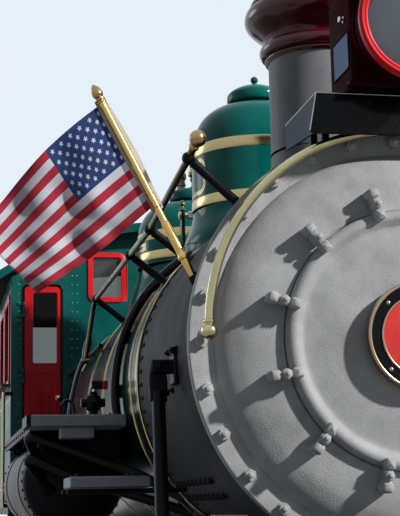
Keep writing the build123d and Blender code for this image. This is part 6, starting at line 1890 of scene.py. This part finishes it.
def make_rod_fittings():
    """Oil cups, red flutes, bolts and caps on the polished rods and crossheads."""
    stations = (main_axle_x + driver_spacing, main_axle_x, main_axle_x - driver_spacing)
    for name, side in sides:
        rods = Piece(f"side_rod_fittings_{name}", f"rods_{name}", finish="brass")
        pins = [crank_place(side, x) for x in stations]
        for pin_x, pin_z in pins:
            pin = beside(side, pin_x, 0, pin_z)
            rods.turned([(0.046, 0.671), (0.056, 0.6725), (0.06, 0.6735), (0.07, 0.673), (0.078, 0.672)],
                pin, 48)
            cup = at((pin_x, side * 0.642, pin_z + 0.113))
            rods.turned([(0.018, 0), (0.018, 0.008), (0.022, 0.012), (0.022, 0.03), (0.014, 0.036),
                (0.008, 0.04), (0, 0.042)], cup, 24)
        for first, second in zip(pins, pins[1:]):
            x0, x1 = second[0] + 0.13, first[0] - 0.13
            wall = beside(side, 0, 0.664, 0)
            left, right = sorted((-side * x0, -side * x1))
            z = first[1]
            surround(rods, left + 0.02, right - 0.02, z - 0.022, z + 0.022, 0.018, 0.018, 0.0035, "steel",
                wall, 0.0015)
            rods.slab(rounded(left + 0.022, right - 0.022, z - 0.02, z + 0.02, 0.016), -0.001, 0.0008, wall,
                0.0004, finish="red_paint")
        rods.done(slot="steel")
        main = Piece(f"main_rod_fittings_{name}", f"main_rod_{name}", finish="brass")
        x, (pin_x, pin_z) = wrist_x(side), crank_place(side, main_axle_x)
        lean = math.atan2(pin_z - axle_z, pin_x - x)
        along = Vector((math.cos(lean), 0, math.sin(lean)))
        across = Vector((-along.z, 0, along.x))
        if across.z < 0:
            across = -across
        outer = side * (cylinder_y + 0.028)
        place = Matrix((along, across, Vector((0, side, 0)))).transposed().to_4x4()
        place = at((x, outer, axle_z)) @ place
        surround(main, 0.155, 2.135, -0.024, 0.024, 0.014, 0.016, 0.004, "steel", place, 0.0015)
        main.slab(rounded(0.157, 2.133, -0.022, 0.022, 0.014), -0.001, 0.0008, place, 0.0004,
            finish="red_paint")
        for reach in (2.235, 2.455):
            for rise in (-0.062, 0.062):
                main.nut(place @ at((reach, rise, 0)), 0.014, finish="steel")
        main.turned([(0.052, 0), (0.052, 0.01), (0.046, 0.02), (0.03, 0.023), (0, 0.023)],
            place @ at((main_rod_length, 0, 0)), 36)
        spot = Vector((x, side * cylinder_y, axle_z)) + along * main_rod_length + across * 0.098
        main.turned([(0.02, 0), (0.02, 0.01), (0.024, 0.014), (0.024, 0.034), (0.015, 0.04), (0, 0.044)],
            at(spot), 24)
        main.turned([(0.058, 0), (0.05, 0.003), (0.036, 0.0035)], place, 36)
        main.done(slot="steel")
        cross = Piece(f"crosshead_fittings_{name}", f"crosshead_{name}", finish="steel")
        for bolt_x, bolt_z in ((-0.075, -0.05), (-0.075, 0.05), (0.09, -0.055), (0.09, 0.075)):
            cross.nut(beside(side, x + bolt_x, 0.8195, axle_z + bolt_z), 0.011)
        cross.nut(beside(side, x, 0.827, axle_z), 0.022, 0.012)
        for bolt_x in (-0.11, 0.0, 0.11):
            cross.turned([(0.014, 0), (0.014, 0.01), (0.01, 0.014), (0, 0.016)],
                beside(side, x + bolt_x, 0.82, 0.82), 20, finish="brass")
        cross.done(slot="steel")


def make_cylinder_trim():
    """Jacket bands, cover bolts, cocks, and a valve chest lid on each cylinder."""
    piece = Piece("cylinder_covers_and_cocks", finish="brass")
    half = 0.4
    lid_top = 1.098
    band_radius = 0.2665
    for side in (-1, 1):
        line = set_at((0, side * cylinder_y, axle_z), forward)
        front, rear = stack_x + half, stack_x - half
        cover = eased([(0.248, front - 0.05), (0.247, front - 0.02), (0.232, front - 0.004),
            (0.19, front + 0.004), (0.15, front + 0.012), (0.09, front + 0.02), (0.0, front + 0.023)], 5)
        piece.turned(cover, line, 72, finish="gloss_black")
        piece.turned([(0.262, front - 0.055), (band_radius, front - 0.052), (band_radius, front - 0.03),
            (0.248, front - 0.026)], line, 80)
        piece.turned([(0.262, rear + 0.055), (band_radius, rear + 0.058), (band_radius, rear + 0.08),
            (0.262, rear + 0.084)], line, 80)
        for index in range(16):
            direction = outward(22.5 * index)
            spot = Vector((front - 0.001, side * cylinder_y, axle_z)) + 0.208 * direction
            piece.nut(set_at(spot, forward), 0.013, finish="black_iron")
        piece.turned([(0.03, front + 0.021), (0.03, front + 0.04), (0.018, front + 0.046),
            (0, front + 0.048)], line, 28)
        for x in (front - 0.1, rear + 0.1):
            place = at((x, side * cylinder_y, axle_z - 0.266))
            piece.turned([(0.016, 0.004), (0.016, -0.02), (0.011, -0.026), (0.011, -0.046), (0.015, -0.05),
                (0.015, -0.066), (0, -0.07)], place, 20)
            piece.rod((x, side * cylinder_y, axle_z - 0.306),
                (x, side * (cylinder_y + 0.055), axle_z - 0.306), 0.006)
        chest_x0, chest_x1 = stack_x - 0.3, stack_x + 0.3
        lid_y = sorted((side * 0.565, side * 0.968))
        piece.slab(rounded(chest_x0 + 0.004, chest_x1 - 0.004, lid_y[0], lid_y[1], 0.02), 1.0846, lid_top,
            None, 0.004, finish="gloss_black")
        for x in spread(chest_x0 + 0.05, 0.5, 7):
            for y in (0.592, 0.942):
                piece.nut(at((x, side * y, lid_top)), 0.012, finish="black_iron")
        for y in (0.69, 0.84):
            for x in (chest_x0 + 0.03, chest_x1 - 0.03):
                piece.nut(at((x, side * y, lid_top)), 0.012, finish="black_iron")
        wall = beside(side, 0, 0.97, 0)
        left, right = sorted((-side * (chest_x0 + 0.03), -side * (chest_x1 - 0.03)))
        surround(piece, left + 0.02, right - 0.02, 0.885, 1.055, 0.012, 0.02, 0.004, "brass", wall, 0.0015)
        piece.turned([(0.03, lid_top), (0.03, 1.11), (0.018, 1.118), (0.016, 1.15), (0.026, 1.158),
            (0.028, 1.19), (0.02, 1.2), (0, 1.206)], at((stack_x + 0.12, side * 0.86, 0)), 28)
    piece.done(slot="black_iron")


def make_front_end_trim():
    """Gold lines, bolts, levers and steps on the pilot beam, with deck rivets and the coupler's pin."""
    piece = Piece("pilot_beam_fittings", finish="black_iron")
    beam_x = ring_x + 0.56
    pin_y = -0.062
    front = set_at((beam_x, 0, 0), forward)
    for left, right in ((-1.03, -0.2), (0.2, 1.03)):
        surround(piece, left, right, 0.74, 1.03, 0.006, 0.03, 0.0018, "gold_line", front, 0.0006)
    for side in (-1, 1):
        for y in (0.25, 0.45, 0.78, 0.98):
            for z in (0.775, 0.995):
                piece.nut(set_at((beam_x, side * y, z), forward), 0.015)
        for x in (ring_x - 0.38, ring_x - 0.1, ring_x + 0.2, ring_x + 0.5):
            for y in (0.35, 0.68, 1.02):
                if not (x < ring_x + 0.05 and y < 0.6):
                    piece.rivet(at((x, side * y, deck_top)), 0.011)
        lever = ((0.045, 0.12, 1.005), (0.05, 0.4, 1.01), (0.05, 0.86, 1.01), (0.055, 0.9, 0.985),
            (0.06, 0.905, 0.86))
        route = [Vector((beam_x + ahead, side * out, z)) for ahead, out, z in lever]
        piece.pipe(eased(route, 5), 0.011, 14)
        for y in (0.3, 0.78):
            piece.block((beam_x, side * y - 0.015, 0.99), (beam_x + 0.06, side * y + 0.015, 1.004))
        piece.block((beam_x + 0.006, side * 0.6, 0.655), (beam_x + 0.3, side * 0.86, 0.68), 0.004,
            finish="tread_grey")
        for y in (0.62, 0.84):
            piece.block((beam_x, side * y - 0.008, 0.655), (beam_x + 0.28, side * y + 0.008, 0.665))
            piece.rod((beam_x + 0.005, side * y, 0.74), (beam_x + 0.24, side * y, 0.668), 0.008)
        for share in range(1, 9):
            y = side * (0.06 + 0.9 * share / 9)
            piece.nut(set_at((beam_x + 0.06, y, 0.69), forward), 0.01)
    for y in (-0.11, 0.11):
        for z in (0.765, 0.925):
            piece.nut(set_at((beam_x + 0.04, y, z), forward), 0.016, finish="cast_iron")
    piece.rod((beam_x + 0.3, pin_y, 0.722), (beam_x + 0.3, pin_y, 0.974), 0.018, finish="steel")
    piece.ball((beam_x + 0.3, pin_y, 0.974), 0.026, 20, finish="steel")
    piece.done(slot="black_iron")


def make_underframe_trim():
    """Frame bolts, spring bands and hangers, and the bolts of the truck's boxes."""
    piece = Piece("frame_bolts_and_hangers", finish="black_iron")
    for side in (-1, 1):
        face, hanger_y = side * 0.3996, side * 0.372
        for x in (main_axle_x + driver_spacing, main_axle_x, main_axle_x - driver_spacing):
            for reach in (-0.33, -0.22, -0.14, 0.14, 0.22, 0.33):
                for z in (0.47, 0.8):
                    piece.nut(set_at((x + reach, face, z), (0, side, 0)), 0.013, finish="frame_black")
            piece.block((x - 0.05, side * 0.338, 0.868), (x + 0.05, side * 0.406, 0.955), 0.006)
            for end in (-1, 1):
                piece.rod((x + end * 0.38, hanger_y, 0.845), (x + end * 0.38, hanger_y, 0.972), 0.016)
                piece.nut(at((x + end * 0.38, hanger_y, 0.962)), 0.018)
        for x in (stack_x - 0.82, stack_x + 0.82):
            for reach in (-0.08, 0.08):
                for z in (0.3, 0.42):
                    piece.nut(beside(side, x + reach, 0.338, z), 0.01)
    piece.done(slot="black_iron")


# Inside the cab

seat_rear_x = cab_rear_x + 0.16
seat_front_x = cab_rear_x + 0.62


def make_backhead():
    """Fire door, throttle, gauges, water glasses and valves on the backhead."""
    piece = Piece("backhead_controls", finish="brass")
    rear = jacket_rear_x
    fire_door_z = boiler_z - 0.1
    gauge_x = rear - 0.035
    line = set_at((0, 0, fire_door_z), forward)
    piece.turned([(0, rear - 0.058), (0.12, rear - 0.056), (0.15, rear - 0.048), (0.168, rear - 0.03),
        (0.17, rear)], line, 64, finish="black_iron")
    piece.turned([(0.17, rear - 0.022), (0.186, rear - 0.018), (0.186, rear)], line, 64, finish="cast_iron")
    for index in range(12):
        direction = outward(30 * index)
        piece.rivet(set_at(Vector((rear - 0.044, 0, fire_door_z)) + 0.145 * direction, (-1, 0, 0)), 0.008,
            finish="black_iron")
    piece.rod((rear - 0.062, 0.03, boiler_z - 0.22), (rear - 0.062, 0.03, boiler_z + 0.02), 0.009,
        finish="steel")
    for y, z, radius in ((-0.12, boiler_z + 0.35, 0.085), (0.15, boiler_z + 0.33, 0.065)):
        place = set_at((rear, y, z), (-1, 0, 0))
        piece.turned([(0.02, 0), (0.02, 0.032), (radius - 0.012, 0.036), (radius, 0.044), (radius, 0.082),
            (radius - 0.004, 0.089), (radius - 0.012, 0.09), (radius - 0.014, 0.084)], place, 56)
        piece.turned([(radius - 0.014, 0.084), (0, 0.084)], place, 40, finish="dial_white")
        for step in range(11):
            angle = math.radians(225 - 27 * step)
            spot = place @ Matrix.Rotation(angle, 4, "Z") @ at((radius - 0.024, 0, 0.0842))
            piece.block((-0.005, -0.0012, 0), (0.005, 0.0012, 0.0008), 0.0003, spot, finish="gloss_black")
        spot = place @ Matrix.Rotation(math.radians(120), 4, "Z")
        piece.slab([(-0.012, -0.003), (radius - 0.028, -0.0008), (radius - 0.028, 0.0008), (-0.012, 0.003)],
            0.0845, 0.086, spot, 0.0003, finish="red_paint")
    piece.rod((rear, -0.06, boiler_z + 0.12), (rear - 0.07, -0.06, boiler_z + 0.12), 0.03, 28)
    piece.rod((rear - 0.07, -0.05, boiler_z + 0.12), (rear - 0.09, -0.48, boiler_z + 0.15), 0.013,
        finish="steel")
    piece.ball((rear - 0.09, -0.48, boiler_z + 0.15), 0.022)
    for y in (-0.3, 0.3):
        piece.rod((gauge_x, y, boiler_z + 0.02), (gauge_x, y, boiler_z + 0.26), 0.01, 20, finish="glass")
        for z in (0.02, 0.26):
            piece.rod((rear + 0.01, y, boiler_z + z), (rear - 0.055, y, boiler_z + z), 0.014, 20)
            piece.ball((gauge_x, y, boiler_z + z), 0.021, 20)
    for index in range(4):
        y = -0.27 + 0.18 * index
        piece.rod((rear + 0.01, y, boiler_z + 0.46), (rear - 0.05, y, boiler_z + 0.46), 0.012, 18)
        piece.turned([(0.03, 0.05), (0.036, 0.055), (0.036, 0.062), (0.03, 0.066), (0.008, 0.062),
            (0.008, 0.072), (0, 0.074)], set_at((rear, y, boiler_z + 0.46), (-1, 0, 0)), 28,
            finish="red_paint")
        drop = ((0.03, y, 0.46), (0.034, y + 0.02, 0.4), (0.022, y * 1.5, 0.2), (0.02, y * 1.7, -0.1),
            (0.02, y * 1.7, -0.42))
        route = [Vector((rear - back, out, boiler_z + up)) for back, out, up in drop]
        piece.pipe(eased(route, 5), 0.007, 12, finish="copper")
    piece.done("backhead_fittings", slot="brass")


def make_cab_interior():
    """Plank floor, seat boxes and padded seats."""
    piece = Piece("cab_floor_and_boxes", finish="floor_wood")
    plank_width = 0.118
    for index in range(17):
        y0 = -1.0 + plank_width * index
        high_x = jacket_rear_x - 0.01 if abs(y0 + plank_width / 2) < 0.75 else cab_front_x - 0.04
        piece.block((cab_rear_x - 0.055, y0 + 0.0015, floor_top),
            (high_x, y0 + plank_width - 0.0015, floor_top + 0.008), 0.003)
    for side in (-1, 1):
        inner, outer = side * 0.76, side * 0.992
        piece.block((seat_rear_x, inner, floor_top + 0.008), (seat_front_x, outer, floor_top + 0.41), 0.008,
            finish="cab_green")
        piece.block((cab_rear_x + 0.15, side * 0.748, floor_top + 0.402),
            (cab_rear_x + 0.63, outer, floor_top + 0.42), 0.006)
        wall = set_at((0, side * 0.7598, 0), (0, -side, 0))
        left, right = sorted((side * (cab_rear_x + 0.19), side * (cab_rear_x + 0.59)))
        surround(piece, left + 0.02, right - 0.02, floor_top + 0.05, floor_top + 0.37, 0.012, 0.01, 0.006,
            "cab_green", wall, 0.002)
        make_cushion(side)
    piece.done(slot="black_iron")


def make_cushion(side):
    """A crowned leather seat pad with piping, pulled in at its corners."""
    low_x, high_x = seat_rear_x, seat_front_x
    low_y, high_y = sorted((side * 0.75, side * 0.99))
    steps_x, steps_y = 30, 18
    points = []
    for level in range(2):
        for i in range(steps_x + 1):
            for j in range(steps_y + 1):
                u, v = 2 * i / steps_x - 1, 2 * j / steps_y - 1
                pull = 0.01 * (u * u) * (v * v)
                x = (low_x + high_x) / 2 + u * ((high_x - low_x) / 2 - pull * 1.2 + 0.004 * (1 - v * v))
                y = (low_y + high_y) / 2 + v * ((high_y - low_y) / 2 - pull + 0.003 * (1 - u * u))
                crown = (1 - u**6) * (1 - v**6)
                if level:
                    z = floor_top + 0.462 + 0.034 * crown - 0.01 * math.exp(-(u * u + v * v) * 9)
                    z -= 0.004 * math.exp(-((abs(u) - 0.34) * 22)**2)
                else:
                    z = floor_top + 0.421 + 0.014 * (1 - crown)
                points.append((x, y, z))
    row = steps_y + 1
    layer = (steps_x + 1) * row
    faces = []
    for i in range(steps_x):
        for j in range(steps_y):
            corner = i * row + j
            faces.append([layer + corner, layer + corner + row, layer + corner + row + 1,
                layer + corner + 1])
            faces.append([corner, corner + 1, corner + row + 1, corner + row])
    border = [i * row for i in range(steps_x + 1)] + [steps_x * row + j for j in range(1, steps_y + 1)]
    border += [i * row + steps_y for i in range(steps_x - 1, -1, -1)]
    border += range(steps_y - 1, 0, -1)
    for index, corner in enumerate(border):
        following = border[(index + 1) % len(border)]
        faces.append([corner, following, layer + following, layer + corner])
    piece = Piece(f"seat_pad_{'left' if side == 1 else 'right'}", finish="seat_leather")
    piece.add(points, faces)
    seam = [Vector(points[layer + corner]) + Vector((0, 0, 0.001)) for corner in border]
    piece.pipe(seam, 0.0032, 8, closed=True)
    cushion = piece.done(*(("cab_seats",) if side == -1 else ()), slot="seat_leather", sharp=70)
    smooth = cushion.modifiers.new("smooth", "SUBSURF")
    smooth.levels = smooth.render_levels = 1
    return cushion


# The finish and the softened edge of each node that shows as the frame has it

kept_nodes = {"frame": ("frame_black", 0.004), "axle_boxes": ("cast_iron", 0.005),
    "driving_springs": ("black_iron", 0.0025), "side_rod_right": ("steel", 0.004),
    "side_rod_left": ("steel", 0.004), "crosshead_right": ("steel", 0.003),
    "crosshead_left": ("steel", 0.003), "main_rod_right": ("steel", 0.004),
    "main_rod_left": ("steel", 0.004), "guides": ("steel", 0.003), "cylinder_right": ("gloss_black", 0.01),
    "cylinder_left": ("gloss_black", 0.01), "truck_frame": ("frame_black", 0.005),
    "brake_gear": ("cast_iron", 0.003), "running_boards": ("black_iron", 0.002),
    "pilot_beam": ("gloss_black", 0.006), "pilot": ("gloss_black", 0.003),
    "front_coupler": ("cast_iron", 0.01), "cab_front": ("cab_green", 0.0015),
    "cab_side_right": ("cab_green", 0.002), "cab_side_left": ("cab_green", 0.002),
    "cab_roof": ("roof_black", 0.004), "cab_floor": ("black_iron", 0.004)}


def dress_kept_nodes():
    for node, (finish, edge) in kept_nodes.items():
        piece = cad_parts[node]
        for slot in piece.material_slots:
            slot.material = finishes[finish]
        weld = piece.modifiers.new("weld", "WELD")
        weld.merge_threshold = 0.00005
        bevel = piece.modifiers.new("soft_edges", "BEVEL")
        bevel.width = edge
        bevel.segments = 2
        bevel.limit_method = "ANGLE"
        bevel.angle_limit = math.radians(40)
        split = piece.modifiers.new("sharp_edges", "EDGE_SPLIT")
        split.split_angle = math.radians(34)


# Light, floor and camera

def seen_directly(tree):
    """One where the eye, a reflection or a look through glass meets the surface, otherwise nothing."""
    path = tree.nodes.new("ShaderNodeLightPath")
    seen = math_node(tree, "MAXIMUM", path.outputs["Is Camera Ray"], path.outputs["Is Glossy Ray"])
    return math_node(tree, "MAXIMUM", seen, path.outputs["Is Transmission Ray"])


def make_stage():
    mesh = bpy.data.meshes.new("studio_floor")
    reach = 60.0
    mesh.from_pydata([(-reach, -reach, 0), (reach, -reach, 0), (reach, reach, 0), (-reach, reach, 0)], [],
        [[0, 1, 2, 3]])
    floor = bpy.data.objects.new("studio_floor", mesh)
    bpy.context.scene.collection.objects.link(floor)
    material, tree, shader = new_material("studio_floor_paint", 0.85)
    tone = noise(tree, object_place(tree), 0.6, 4.0, 0.5)
    tone = mixed(tree, tone, (0.83, 0.835, 0.84), (0.89, 0.895, 0.9))
    tone = mixed(tree, seen_directly(tree), (0.18, 0.18, 0.18), tone)
    tree.links.new(tone, shader.inputs["Base Color"])
    mesh.materials.append(material)


fill_strength = 0.14


def make_world():
    world = bpy.data.worlds.new("studio")
    bpy.context.scene.world = world
    world.use_nodes = True
    tree = world.node_tree
    background = tree.nodes["Background"]
    seen = seen_directly(tree)
    background.inputs["Color"].default_value = (0.8, 0.87, 0.94, 1.0)
    tree.links.new(math_node(tree, "MULTIPLY_ADD", seen, 1.0 - fill_strength, fill_strength),
        background.inputs["Strength"])


def add_light(name, kind, place, target, energy, colour, size=1.0):
    light = bpy.data.lights.new(name, kind)
    light.energy = energy
    light.color = colour
    if kind == "SUN":
        light.angle = math.radians(2.5)
    else:
        light.shape = "DISK"
        light.size = size
    lamp = bpy.data.objects.new(name, light)
    lamp.location = place
    lamp.rotation_euler = (Vector(target) - Vector(place)).to_track_quat("-Z", "Y").to_euler()
    bpy.context.scene.collection.objects.link(lamp)


def make_lights():
    toward = Vector((0.568, 0.67, 0.478)).normalized()
    add_light("key_sun", "SUN", toward * 20, (0, 0, 0), 3.6, (1.0, 0.96, 0.9))
    add_light("side_fill", "AREA", (-12.0, -14.0, 7.5), (-2.0, 0.0, 1.6), 520.0, (0.9, 0.95, 1.0), 8.0)


focal_length = 93.37
camera_yaw, camera_pitch, camera_roll = 11.45, 10.56, -1.19


def make_camera():
    data = bpy.data.cameras.new("photo_view")
    data.lens = focal_length
    data.sensor_width = 36.0
    data.sensor_fit = "AUTO"
    data.clip_end = 200.0
    camera = bpy.data.objects.new("photo_view", data)
    yaw, pitch, roll = (math.radians(angle) for angle in (camera_yaw, camera_pitch, camera_roll))
    look = Vector((-math.cos(yaw) * math.cos(pitch), math.sin(yaw) * math.cos(pitch), math.sin(pitch)))
    right = look.cross(Vector((0, 0, 1))).normalized()
    upward = right.cross(look)
    turned_right = math.cos(roll) * right + math.sin(roll) * upward
    turned_up = -math.sin(roll) * right + math.cos(roll) * upward
    axes = Matrix((turned_right, turned_up, -look)).transposed()
    camera.matrix_world = at(camera_place) @ axes.to_4x4()
    bpy.context.scene.collection.objects.link(camera)
    bpy.context.scene.camera = camera


# The whole engine

make_smokebox_front()
make_smokebox_door()
make_door_dogs()
make_number_plate()
make_front_rail()
make_smokebox()
make_stack()
make_domes()
make_headlight()
make_shelf()
make_handrails()
make_flagstaffs()
make_flags()
make_boiler()
make_boiler_bands()
make_bell()
make_safety_valves()
make_front_steps()
make_tread_trim()
make_air_tanks()
make_boiler_pipes()
make_step_valve()
make_braces()
make_air_pump()
make_cab_trim()
make_cab_doors()
make_cab_glass()
make_roof_trim()
make_driving_axles()
make_truck_axles()
make_rod_fittings()
make_cylinder_trim()
make_front_end_trim()
make_underframe_trim()
make_backhead()
make_cab_interior()
dress_kept_nodes()
make_stage()
make_world()
make_lights()
make_camera()

bpy.context.scene.view_settings.view_transform = "Standard"
